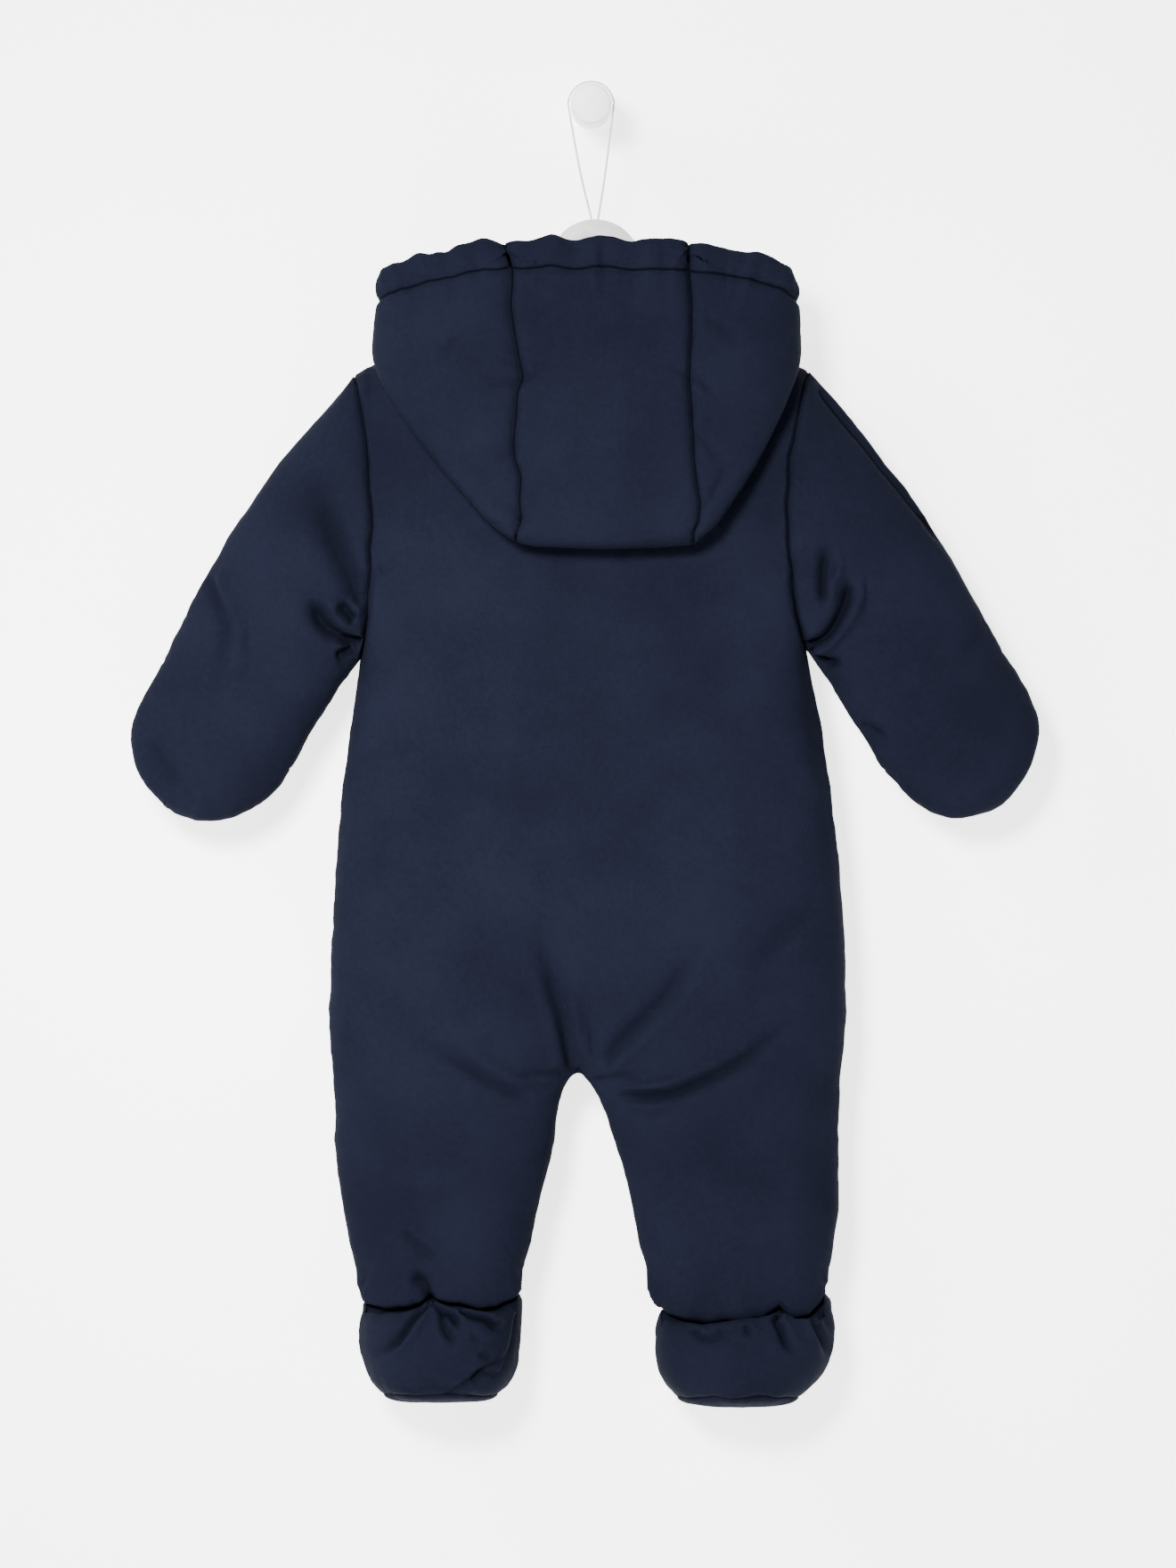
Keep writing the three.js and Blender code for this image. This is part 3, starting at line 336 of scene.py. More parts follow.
def whitePaint(name, dark, light, brush, roughness):
    # Brushed or rolled paint: a faint unevenness of tone, and a fine brushed bump
    material, tree, shader, place = startMaterial(name, light, roughness)
    tone = grain(tree, place, 14, 3)
    colour = colourBetween(tree, tone, dark, light, 0.3, 0.7)
    tree.links.new(colour, shader.inputs["Base Color"])
    skin = grain(tree, place, brush, 3)
    addBump(tree, shader, skin, 0.05, 0.35)
    shader.inputs["Coat Weight"].default_value = 0.12
    shader.inputs["Coat Roughness"].default_value = 0.3
    return material


def cottonCord():
    material, tree, shader, place = startMaterial("cottonCord", (0.74, 0.70, 0.60), 0.9)
    fibre = grain(tree, place, 0.4, 3)
    colour = colourBetween(tree, fibre, (0.60, 0.56, 0.47), (0.82, 0.79, 0.70))
    tree.links.new(colour, shader.inputs["Base Color"])
    addBump(tree, shader, fibre, 0.08, 0.7)
    shader.inputs["Sheen Weight"].default_value = 0.2
    return material


finishes = {
    "cloth": (navyCloth(navyLook), "padded_cloth"),
    "tape": (tapeCloth(), "zip_tape"),
    "thread": (threadCloth(), "padded_cloth"),
    "plastic": (mouldedPlastic(), "zip_plastic"),
    "peg": (whitePaint("pegPaint", (0.80, 0.79, 0.79), (0.86, 0.85, 0.855), 1.2, 0.42), "peg_paint"),
    "board": (whitePaint("boardPaint", (0.44, 0.44, 0.438), (0.49, 0.49, 0.487), 2.5, 0.55), "hanger_board"),
    "cord": (cottonCord(), "cord"),
}
print("materials ready")


def addObject(name, mesh, finish, body="snowsuit"):
    material, slotName = finishes[finish]
    mesh.materials.clear()
    mesh.materials.append(material)
    piece = bpy.data.objects.new(name, mesh)
    bpy.context.scene.collection.objects.link(piece)
    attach(piece, body)
    return piece


def applied(piece):
    # The mesh that the modifiers of an object give
    bpy.context.view_layer.update()
    graph = bpy.context.evaluated_depsgraph_get()
    mesh = bpy.data.meshes.new_from_object(
        piece.evaluated_get(graph), preserve_all_data_layers=True, depsgraph=graph
    )
    bpy.data.objects.remove(piece)
    return mesh


def helperObject(name, mesh):
    piece = bpy.data.objects.new(name, mesh)
    bpy.context.scene.collection.objects.link(piece)
    return piece


def points(mesh):
    place = np.empty(len(mesh.vertices) * 3)
    mesh.vertices.foreach_get("co", place)
    return place.reshape(-1, 3)


def values(mesh, name):
    found = np.empty(len(mesh.vertices))
    mesh.attributes[name].data.foreach_get("value", found)
    return found


def ease(t):
    t = np.clip(t, 0, 1)
    return t * t * (3 - 2 * t)


def cellValue(cells, seed):
    mixed = cells[:, 0] * 73856093 ^ cells[:, 1] * 19349663 ^ cells[:, 2] * 83492791 ^ seed * 2654435
    mixed = (mixed ^ (mixed >> 13)) * 1274126177 & 0x7FFFFFFF
    mixed = (mixed ^ (mixed >> 15)) * 668265263 & 0x7FFFFFFF
    return ((mixed >> 8) & 0xFFFF) / 32767.5 - 1


def unevenness(place, size, seed):
    # Smooth seeded noise from -1 to 1; place and size are in millimetres
    spot = place / size
    base = np.floor(spot).astype(np.int64)
    t = ease(spot - base)
    total = np.zeros(len(place))
    for corner in range(8):
        step = np.array([corner & 1, corner >> 1 & 1, corner >> 2 & 1])
        weight = np.prod(np.where(step == 1, t, 1 - t), axis=1)
        total += weight * cellValue(base + step, seed)
    return total


clothRecipe = {
    "cutEdge": 2.2,  # width of a panel's edge in the CAD cloth, in millimetres
    "tapeEdge": 1.8,
    "longest": 6.5,  # longer edges of the tall faces are cut once more
    "mateReach": 2.5,  # a seam is closed where its two edges come nearer than this
    "neckReach": 5.0,  # the same at the front of the neck
    "neckSewn": 3.2,
    "closeReach": 4,
    "fuller": 0.5,  # how much the padding fills the suit out, over its CAD form
    "sewnReach": 1.3,  # edges nearer than this are sewn to each other
    "cornerTurn": 34,  # a sewn edge that turns more than this keeps its corner, in degrees
    "seamDeep": 2.3,  # how far a seam that faces the viewer is drawn in
    "seamDeepSide": 0.5,  # the same on the outline
    "seamWide": 1.8,
    "seamPad": 1.5,  # how far the padding stands up beside it
    "padReach": 8,
    "creaseStrength": 1.6,  # how much deeper the creases are than their tables say
    "puckerDeep": 1.5,
    "puckerSize": 6.5,
    "puckerReach": 11,
    "edgeWave": 0.8,  # how far the outline waves
    "edgeWaveSize": 19,
    "wander": 1.0,  # how far a seam strays from its line
    "wanderSize": 13,
    "thinning": 0.8,  # what share of the inner faces is left out
    "broadDeep": 1.4,
    "broadSize": 46,
    "smallDeep": 0.32,
    "smallSize": 15,
}

# level: how often a panel's faces are halved; flat and area: the size it was cut to, in metres
panelColumns = ("level", "view", "flat", "area", "tall")
panels = {
    "back": (3, "back", (0.31, 0.60), 0.166),
    "front_left": (3, "front", (0.16, 0.59), 0.080),
    "front_right": (3, "front", (0.16, 0.60), 0.080),
    "sleeve_left_back": (4, "back", (0.13, 0.26), 0.0249),
    "sleeve_left_front": (3, "front", (0.13, 0.19), 0.0183),
    "mitt_left_palm": (3, "front", (0.085, 0.105), 0.0066),
    "sleeve_right_back": (4, "back", (0.13, 0.26), 0.0253),
    "sleeve_right_front": (3, "front", (0.13, 0.19), 0.0187),
    "mitt_right_palm": (3, "front", (0.085, 0.105), 0.0066),
    "foot_left_heel": (4, "back", (0.135, 0.075), 0.0090),
    "foot_left_toe": (3, "front", (0.135, 0.075), 0.0089),
    "foot_left_sole": (3, "sole", (0.068, 0.075), 0.0041),
    "foot_right_heel": (4, "back", (0.14, 0.075), 0.0093),
    "foot_right_toe": (3, "front", (0.14, 0.075), 0.0092),
    "foot_right_sole": (3, "sole", (0.072, 0.075), 0.0043),
    "hood_centre": (3, "hood", (0.115, 0.37), 0.0345, True),
    "hood_left": (3, "hood", (0.17, 0.30), 0.0272, True),
    "hood_right": (3, "hood", (0.17, 0.30), 0.0256, True),
    "zip_tape": (2, "tape", (0.014, 0.350), 0.0044),
}
panels = {name: dict(zip(panelColumns, row)) for name, row in panels.items()}

ankleForm = {
    "z": -692,  # about how high the ankle seams lie
    "reach": 9,
    "halfDepth": 34,
    "sunk": (0.6, 1.8),  # how far they are drawn in, and how much more where they face the viewer
    "sunkReach": 3.4,
    "bulge": 2.0,  # how far the padded leg bulges over them
    "bulgeAt": 5.5,
    "hang": 2.2,  # how far the bulge hangs down
    "hangAt": 4.5,
    "bulgeReach": 4,
    "slope": 1.0,  # how far the foot slopes away under them
    "slopeReach": 7,
    "feetBelow": -700,
}
neckFront = {"low": -0.178, "half": 0.05}  # the front of the neck, in metres
hoodRest = {"x": -2, "half": 128, "low": -272, "most": 0.25}  # where the hood lies on the back

# Creases as they lie in the picture: how deep, how wide, how high the lip beside it stands
# (negative: on the other side), over what share each end fades, the points (x, z) of its line in
# millimetres, and the panel on which it is the line of a seam
creaseColumns = ("deep", "wide", "lip", "fade", "line", "sewn")


def creaseRows(rows):
    return [dict(zip(creaseColumns, row)) for row in rows]


backCreases = creaseRows([
    (1.6, 4.5, 1.6, (0.05, 0.6), [(-11, -563), (-16, -533), (-22, -512), (-27, -484), (-30, -470)]),
    (1.1, 2.6, 0.3, (0.1, 0.7), [(-1, -556), (-5, -527), (-6, -510)]),
    (2.6, 4.4, -1.6, (0.1, 0.6), [(6, -561), (16, -548), (29, -535), (41, -524), (52, -508), (66, -487)]),
    (3.4, 3.8, 2.2, (0.15, 0.6), [(12, -580), (44, -578), (65, -570), (87, -559), (108, -543),
     (131, -527)]),
    (0.9, 2.4, 0.4, (0.3, 0.5), [(16, -586), (36, -588), (57, -584)]),
    (1.9, 3.8, -1.3, (0.2, 0.6), [(-32, -580), (-45, -576), (-62, -567), (-77, -557), (-94, -548),
     (-108, -541)]),
    (1.1, 2.0, 0.4, (0.1, 0.5), [(-15, -566), (-45, -566)]),
    (1.1, 2.0, 0.4, (0.1, 0.5), [(1, -569), (32, -566)]),
    (0.9, 6, 0.5, (0.3, 0.4), [(133, -467), (116, -480), (103, -495), (91, -512)]),
    (-2.2, 20, 0, (0.4, 0.4), [(71, -344), (23, -410), (-22, -464)]),
    (2.4, 21, 0, (0.4, 0.4), [(-77, -285), (-78, -390), (-77, -490)]),
    (-1.2, 11, 0, (0.4, 0.4), [(-58, -431), (-40, -450), (-20, -464)]),
    (1.6, 20, 0, (0.4, 0.4), [(104, -330), (112, -400), (108, -470)]),
    (4.4, 3.0, -2.0, (0.05, 0.3), [(125, -317), (137, -311), (146, -297), (150, -284), (147, -276)]),
    (3.0, 3.2, 1.1, (0.4, 0.3), [(137, -257), (135, -277), (135, -295)]),
    (1.4, 2.2, 0.4, (0.4, 0.4), [(142, -266), (140, -279)]),
    (3.8, 3.0, 1.3, (0.05, 0.5), [(127, -319), (138, -327), (147, -323)]),
    (1.7, 3.0, 0.8, (0.2, 0.5), [(157, -361), (174, -371)]),
    (3.9, 8, 0.8, (0.6, 0.1), [(-163, -214), (-152, -249), (-141, -274), (-134, -295)]),
    (5.6, 4.0, 2.2, (0.4, 0.05), [(-164, -288), (-156, -303), (-146, -311), (-134, -315)]),
    (3.6, 3.2, 1.4, (0.4, 0.1), [(-147, -291), (-138, -302)]),
    (3.8, 3.0, 1.0, (0.4, 0.1), [(-149, -323), (-138, -319)]),
    (1.7, 4.0, 1.3, (0.1, 0.6), [(-224, -274), (-219, -290), (-213, -307), (-216, -332), (-217, -352)]),
    (1.3, 5.0, -0.8, (0.2, 0.5), [(-258, -372), (-246, -389), (-236, -407)]),
    (0.6, 5, 0.4, (0.1, 0.6), [(232, -300), (221, -318), (214, -340)]),
    (1.4, 3.0, 1.4, (0.3, 0.4), [(-111, -656), (-102, -665), (-94, -671), (-86, -672)]),
    (0.6, 4, 0.4, (0.4, 0.4), [(-114, -635), (-95, -638), (-74, -639)]),
    # gathers above and below the left ankle
    (3.2, 2.4, -0.7, (0.4, 0.02), [(-106.3, -684), (-101, -682), (-96.5, -686), (-93.6, -690),
     (-93.3, -696)]),
    (0.9, 4, 0, (0.4, 0.2), [(-107, -688), (-101, -693)]),
    (3.0, 2.6, 1.3, (0.02, 0.5), [(-93.3, -697), (-101, -704), (-107, -713), (-113, -721), (-119.3, -726),
     (-128.4, -729)]),
    (3.2, 2.0, 0.8, (0.02, 0.3), [(-93.3, -697), (-84, -702.3), (-79.5, -707), (-77.2, -711.4),
     (-75, -712.4)]),
    (1.9, 2.3, -0.7, (0.05, 0.4), [(-87, -701), (-85, -713), (-79.5, -720.7), (-76.4, -722.3)]),
    (3.5, 2.2, 1.0, (0.05, 0.3), [(-76.4, -701), (-69, -705.4), (-61, -707.7), (-56.6, -711.4),
     (-50.4, -714.5)]),
    (0.8, 2.3, 0.3, (0.3, 0.4), [(-70.5, -717.6), (-62.7, -720)]),
    (1.1, 2.1, 0.4, (0.3, 0.4), [(-65.8, -728.3), (-56.6, -730)]),
    (1.1, 1.6, -0.4, (0.1, 0.2), [(-45, -700), (-44.5, -712), (-46, -724), (-50, -733), (-55, -741)]),
    (1.4, 1.7, -0.8, (0.2, 0.2), [(-93.3, -753), (-81, -750), (-70.5, -743.6), (-64.2, -738.4),
     (-56.6, -734.2), (-48, -728.3)]),
    (1.4, 1.9, 0.5, (0.1, 0.2), [(-69, -745.2), (-63.4, -738.4), (-53.5, -742)]),
    (0.6, 1.4, 0.2, (0.2, 0.2), [(-109.5, -748), (-101, -748.8), (-92, -747), (-81, -748.8)]),
    # and about the right one
    (3.2, 2.4, 1.1, (0.02, 0.5), [(109.7, -702), (107.4, -707.7), (111, -714.5), (114, -722.3),
     (120.4, -730)]),
    (1.4, 2.0, 0.4, (0.4, 0.02), [(117, -694), (112.6, -698.5), (109, -702)]),
    (1.6, 2.0, 0.6, (0.02, 0.5), [(89.7, -711), (92.8, -718)]),
    (1.6, 2.8, 0.6, (0.1, 0.3), [(59, -713), (65.3, -719), (73, -717.6), (80.6, -711.4)]),
    (2.4, 2.3, -1.3, (0.02, 0.4), [(128, -704), (131, -713), (135.7, -722.3), (138.6, -733)]),
    (1.1, 2.0, 0.4, (0.02, 0.4), [(132.6, -701), (137, -710), (140, -719)]),
    (0.8, 1.5, -0.5, (0.2, 0.2), [(73, -756), (83.7, -754), (94.4, -752), (105, -753.5), (111, -754.5)]),
    (0.6, 3.0, 0.3, (0.05, 0.7), [(97, -704), (96, -694), (98, -680)]),
    (0.6, 3.2, 0.3, (0.05, 0.7), [(66, -708), (62, -696), (61, -684)]),
    # the front layer of the right sleeve rolls over its upper edge, so its seam shows on the back
    (1.6, 2.2, 0.6, (0.02, 0.1), [(133, -167), (147, -184), (163, -203), (176, -220), (186, -233),
     (196, -244), (205, -257)], "sleeve_right_back"),
])

frontCreases = creaseRows([
    (1.8, 4.5, 1.1, (0.05, 0.6), [(-10, -563), (-20, -530), (-30, -495)]),
    (1.8, 4.5, -1.1, (0.05, 0.6), [(8, -562), (26, -538), (50, -515)]),
    (2.3, 4, 1.3, (0.2, 0.6), [(14, -583), (46, -580), (80, -566), (118, -541)]),
    (2.1, 4, -1.2, (0.2, 0.6), [(-28, -583), (-58, -574), (-88, -556), (-112, -536)]),
    (2.2, 20, 0, (0.4, 0.4), [(-66, -300), (-74, -390), (-70, -480)]),
    (2.2, 20, 0, (0.4, 0.4), [(60, -290), (72, -380), (66, -470)]),
    (1.4, 12, 0, (0.4, 0.4), [(-35, -200), (-45, -250), (-40, -300)]),
    (1.4, 12, 0, (0.4, 0.4), [(30, -210), (40, -255), (36, -310)]),
    (2.3, 3.2, 1.2, (0.4, 0.05), [(-160, -290), (-150, -305), (-135, -314)]),
    (2.3, 3.2, -1.2, (0.05, 0.4), [(126, -317), (142, -305), (150, -288)]),
    (1.8, 8, 0, (0.5, 0.2), [(-155, -225), (-146, -255), (-137, -290)]),
    (1.6, 8, 0, (0.5, 0.2), [(150, -230), (142, -262), (136, -292)]),
    (1.6, 5, 0.8, (0.1, 0.6), [(-222, -280), (-213, -305), (-212, -335)]),
    (1.5, 5, -0.8, (0.1, 0.6), [(228, -290), (218, -312), (212, -338)]),
    (1.4, 3.4, 0.8, (0.3, 0.4), [(-110, -660), (-96, -670), (-82, -669)]),
    (1.3, 3.4, 0.8, (0.3, 0.4), [(96, -664), (112, -672), (126, -668)]),
    (1.6, 3, 0.7, (0.02, 0.6), [(-100, -697), (-106, -710), (-112, -722)]),
    (1.4, 3, 0.6, (0.02, 0.6), [(-72, -699), (-68, -712), (-62, -722)]),
    (1.5, 3, 0.6, (0.02, 0.6), [(76, -706), (70, -718), (66, -728)]),
    (1.5, 3, 0.7, (0.02, 0.6), [(108, -704), (114, -716), (122, -726)]),
])

hoodCreases = creaseRows([
    (0.8, 3, 0.4, (0.4, 0.4), [(-88, -151), (-80, -141), (-72, -133)]),
    (1.2, 2.6, 0.6, (0.02, 0.6), [(-40, -161), (-52, -163), (-67, -165)]),
    (0.7, 2.4, 0.3, (0.02, 0.6), [(-40, -160), (-50, -153), (-62, -150)]),
    (0.8, 2.4, 0.3, (0.02, 0.6), [(-39, -161), (-31, -156), (-24, -155)]),
    (0.7, 3.2, 0.3, (0.2, 0.5), [(65, -125), (77, -133), (87, -145)]),
    (1.1, 2.6, 0.5, (0.02, 0.6), [(58, -161), (66, -165), (73, -172)]),
    (0.8, 2.4, 0.4, (0.02, 0.6), [(57, -161), (50, -157), (43, -157)]),
    (0.8, 2.8, 0.4, (0.05, 0.6), [(59, -195), (68, -203), (77, -214)]),
    (0.8, 2.8, 0.4, (0.05, 0.6), [(-43, -200), (-52, -206), (-62, -207)]),
    (0.9, 3.5, 0.5, (0.05, 0.6), [(-42, -243), (-52, -236), (-62, -224)]),
    (0.9, 3.5, -0.5, (0.05, 0.6), [(60, -236), (70, -226), (84, -205)]),
])

hoodHem = {
    "stitchAt": 14.3,  # from the edge of the hood to the line that holds the elastic
    "grooveDeep": 2.0,
    "grooveWide": 2.0,
    "puff": 1.1,
    "gatherDeep": 1.7,
    "gatherSize": 8.5,
    "belowReach": 12,  # how far the gathers run on below the line
    "wider": 1.6,  # how far the sides of the hood stand out over their CAD form
    "corners": [(-116, -98, -3.5, 1.5), (114, -100, 1.5, 1.0)],  # x, z, how far out, how far up
    "cornerReach": 14,
    "edgeWave": 2.0,  # how far the edge rises and falls between the gathers
}

# Seams as they lie in the picture, as points (x, z) in millimetres
ankleLine = [
    (-135, -697), (-130, -701), (-119, -703.5), (-105.5, -702.5), (-99.6, -700), (-93.3, -695.2),
    (-88.7, -698.4), (-82.6, -700), (-76.4, -700), (-65.8, -704), (-56.6, -703), (-47.6, -697.8),
    (-42.9, -692.4), (34, -700), (43.9, -706), (57.7, -710.5), (71.5, -712.4), (80.6, -710.8), (89.7, -711),
    (100.5, -708.4), (107.4, -703.6), (109.7, -701.5), (115.7, -710.2), (125, -708.8), (131.1, -702.3),
    (135.7, -692.6),
]
hoodSeams = {
    -1: [(-50.7, -78), (-49.5, -84), (-46, -96.7), (-46.5, -117), (-44.5, -136.2), (-42.4, -150),
         (-39.8, -160.7), (-42.9, -170), (-44.2, -185), (-45, -199.7), (-43.8, -208), (-41.9, -216.8),
         (-41.3, -244.4), (-44, -251)],
    1: [(56.4, -78), (56.9, -96.7), (57.9, -118), (58.5, -134.2), (57.2, -160.7), (58.6, -176),
         (59, -191.4), (61.1, -212.7), (63.4, -234), (62.7, -244.4), (60, -251)],
}


def readPanel(node, edgeWidth):
    # A welded copy of the CAD panel in quads, with its outside, its inside and its cut edge told apart
    grid = bmesh.new()
    grid.from_mesh(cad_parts[node].data)
    layerOf = grid.verts.layers.float.new("layer")
    rimOf = grid.verts.layers.float.new("rim")
    for key in ("sewn", "crease_vert"):
        grid.verts.layers.float.new(key)
    grid.edges.layers.float.new("crease_edge")
    bmesh.ops.remove_doubles(grid, verts=grid.verts[:], dist=2e-5)
    for items in (grid.verts, grid.edges, grid.faces):
        items.ensure_lookup_table()
        items.index_update()
    rungs = {e.index for e in grid.edges if abs(e.calc_length() - edgeWidth * mm) < 4e-6}
    rim = {f.index for f in grid.faces if any(e.index in rungs for e in f.edges)}
    left = set(range(len(grid.faces))) - rim
    sheets = []
    while left:
        start = min(left)
        left.discard(start)
        group, stack = [start], [start]
        while stack:
            for edge in grid.faces[stack.pop()].edges:
                for other in edge.link_faces:
                    if other.index in left:
                        left.discard(other.index)
                        group.append(other.index)
                        stack.append(other.index)
        sheets.append(sorted(group))

    def faceSum(group):
        if node == "zip_tape":
            return sum(grid.faces[i].normal.y * grid.faces[i].calc_area() for i in group)
        return sum(grid.faces[i].calc_area() for i in group)

    outer, inner = sorted(sorted(sheets, key=len)[-2:], key=faceSum, reverse=True)
    for value, group in ((0, outer), (1, inner)):
        for i in group:
            for vert in grid.faces[i].verts:
                vert[layerOf] = value
    for i in rim:
        for vert in grid.faces[i].verts:
            vert[rimOf] = 1
    outerFaces = [grid.faces[i] for i in outer]
    innerFaces = [grid.faces[i] for i in inner]
    slanted = [
        e for e in grid.edges
        if e.index not in rungs
        and len(e.link_faces) == 2
        and all(f.index in rim for f in e.link_faces)
        and e.verts[0][layerOf] != e.verts[1][layerOf]
    ]
    bmesh.ops.dissolve_edges(grid, edges=slanted, use_verts=False)
    for group in (outerFaces, innerFaces):
        bmesh.ops.join_triangles(
            grid, faces=group, angle_face_threshold=0.9, angle_shape_threshold=1.2
        )
    grid.verts.index_update()
    return grid


def rimNeighbours(vert, layerOf, rimOf):
    # The next points along the same cut edge
    found = []
    for edge in vert.link_edges:
        other = edge.other_vert(vert)
        if other[rimOf] > 0.5 and other[layerOf] == vert[layerOf]:
            across = {round(v[layerOf]) for f in edge.link_faces for v in f.verts}
            if len(across) == 2:
                found.append((edge, other))
    return found


def atNeck(spot):
    # Whether a point, in metres, lies round the front of the neck
    return spot[2] > neckFront["low"] and spot[1] > midY * mm and abs(spot[0]) < neckFront["half"]


def markSeams(grids, recipe):
    # Sewn edges stay sharp and keep their corners, so that the panels go on meeting
    marks = []
    for name, grid in grids.items():
        rimOf = grid.verts.layers.float["rim"]
        marks += [(name, v.co.copy()) for v in grid.verts if v[rimOf] > 0.5]
    tree = KDTree(len(marks))
    for i, (_, place) in enumerate(marks):
        tree.insert(place, i)
    tree.balance()
    for name, grid in grids.items():
        layerOf = grid.verts.layers.float["layer"]
        rimOf = grid.verts.layers.float["rim"]
        sewnOf = grid.verts.layers.float["sewn"]
        crease = grid.edges.layers.float["crease_edge"]
        corner = grid.verts.layers.float["crease_vert"]
        for vert in grid.verts:
            if vert[rimOf] > 0.5:
                reach = recipe["neckSewn" if atNeck(vert.co) else "sewnReach"]
                near = tree.find_range(vert.co, reach * mm)
                vert[sewnOf] = 1.0 if any(marks[i][0] != name for _, i, _ in near) else 0.0
        for vert in grid.verts:
            if vert[rimOf] < 0.5:
                continue
            along = rimNeighbours(vert, layerOf, rimOf)
            for edge, other in along:
                if vert[sewnOf] > 0.5 and other[sewnOf] > 0.5:
                    edge[crease] = 1.0
            if len(along) == 2 and vert[sewnOf] > 0.5:
                a = (along[0][1].co - vert.co).normalized()
                b = (vert.co - along[1][1].co).normalized()
                if a.angle(b, 0) > math.radians(recipe["cornerTurn"]):
                    vert[corner] = 1.0


def growPanel(name, grid, level, longest):
    # Rounds the panel; edges that are still longer than this, in metres, are cut once more on the way
    mesh = bpy.data.meshes.new(name + "_grid")
    grid.to_mesh(mesh)
    grid.free()
    for rounds in ((level - 1, 1) if panels[name].get("tall") else (level,)):
        piece = helperObject(name + "_grid", mesh)
        smooth = piece.modifiers.new("smooth", "SUBSURF")
        smooth.levels = smooth.render_levels = rounds
        smooth.use_creases = True
        mesh = applied(piece)
        if rounds == level - 1 and panels[name].get("tall"):
            finer = bmesh.new()
            finer.from_mesh(mesh)
            long = [e for e in finer.edges if e.calc_length() > longest]
            bmesh.ops.subdivide_edges(finer, edges=long, cuts=1, use_grid_fill=True)
            finer.to_mesh(mesh)
            finer.free()
    return mesh


def facesOf(mesh):
    corners = np.empty(len(mesh.loops), np.int64)
    mesh.loops.foreach_get("vertex_index", corners)
    return corners.reshape(-1, 4)


def edgesOf(mesh):
    ends = np.empty(len(mesh.edges) * 2, np.int64)
    mesh.edges.foreach_get("vertices", ends)
    return ends.reshape(-1, 2)


def outwardOf(place, faces, layer):
    # Which way is out of the suit at every point, the same on both sides of the cloth
    a, b, c, d = (place[faces[:, k]] for k in range(4))
    across = np.cross(c - a, d - b)
    share = layer[faces].mean(1)
    across *= np.where(share < 1e-3, 1.0, np.where(share > 1 - 1e-3, -1.0, 0.0))[:, None]
    out = np.zeros_like(place)
    for k in range(4):
        for axis in range(3):
            out[:, axis] += np.bincount(faces[:, k], across[:, axis], len(place))
    edges = np.concatenate([faces[:, [k, (k + 1) % 4]] for k in range(4)])
    for _ in range(24):
        empty = np.abs(out).sum(1) < 1e-15
        if not empty.any():
            break
        spread = np.zeros_like(out)
        for axis in range(3):
            spread[:, axis] = np.bincount(edges[:, 0], out[edges[:, 1], axis], len(place))
            spread[:, axis] += np.bincount(edges[:, 1], out[edges[:, 0], axis], len(place))
        out[empty] = spread[empty]
    return out / np.maximum(np.linalg.norm(out, axis=1), 1e-12)[:, None]


def smoothLine(line, step=4.0):
    # A soft curve through the given points
    p = np.array(line, float)
    if len(p) == 2:
        return np.array([p[0] + (p[1] - p[0]) * t for t in np.linspace(0, 1, 4)])
    ends = np.vstack([2 * p[0] - p[1], p, 2 * p[-1] - p[-2]])
    curve = []
    for k in range(1, len(ends) - 2):
        a, b, c, d = ends[k - 1 : k + 3]
        count = max(2, int(np.linalg.norm(c - b) / step))
        for t in np.arange(count) / count:
            curve.append(0.5 * (2 * b + (c - a) * t + (2 * a - 5 * b + 4 * c - d) * t**2
                                + (3 * b - a - 3 * c + d) * t**3))
    curve.append(p[-1])
    return np.array(curve)


def besideLine(spot, path):
    # How far these points (x, z) lie from a curve, where along it, and on which side
    lengths = np.linalg.norm(np.diff(path, axis=0), axis=1)
    start = np.concatenate([[0], np.cumsum(lengths)])
    best = np.full(len(spot), 1e9)
    along = np.zeros(len(spot))
    side = np.zeros(len(spot))
    for k, length in enumerate(lengths):
        way = (path[k + 1] - path[k]) / length
        off = spot - path[k]
        t = np.clip(off @ way, 0, length)
        gap = np.linalg.norm(off - t[:, None] * way, axis=1)
        better = gap < best
        best[better] = gap[better]
        along[better] = (start[k] + t[better]) / start[-1]
        side[better] = np.sign(way[0] * off[better, 1] - way[1] * off[better, 0])
    return best, along, side


def creaseHeight(flat, crease, strength):
    # What one crease adds to the height of the cloth at these points (x, z), in millimetres
    path = smoothLine(crease["line"])
    reach = 3.2 * crease["wide"]
    low, high = path.min(0) - reach, path.max(0) + reach
    near = np.nonzero(((flat > low) & (flat < high)).all(1))[0]
    height = np.zeros(len(flat))
    if not len(near):
        return height
    gap, along, side = besideLine(flat[near], path)
    first, last = crease["fade"]
    ends = ease(along / max(first, 0.01) + 0.15) * ease((1 - along) / max(last, 0.01) + 0.05)
    wide = crease["wide"] * (0.75 + 0.5 * along if first < last else 1.25 - 0.5 * along)
    valley = np.exp(-((gap / wide) ** 2) ** 0.8)
    lip = abs(crease["lip"]) * (side == np.sign(crease["lip"] or 1))
    lip = lip * np.exp(-(((gap - 2.0 * wide) / (1.1 * wide)) ** 2)) * ease(gap / wide)
    height[near] = ends * strength * (lip - crease["deep"] * valley)
    return height


def lineSide(flat, line):
    # How far these points (x, z) lie to one side or the other of a line, in millimetres
    gap, _, side = besideLine(flat, smoothLine(line))
    return np.where(gap < 99, side * gap, 99.0)


def nearestOf(tree, place):
    found = np.empty(len(place), np.int64)
    gaps = np.empty(len(place))
    for k, spot in enumerate(place.tolist()):
        _, found[k], gaps[k] = tree.find(spot)
    return found, gaps


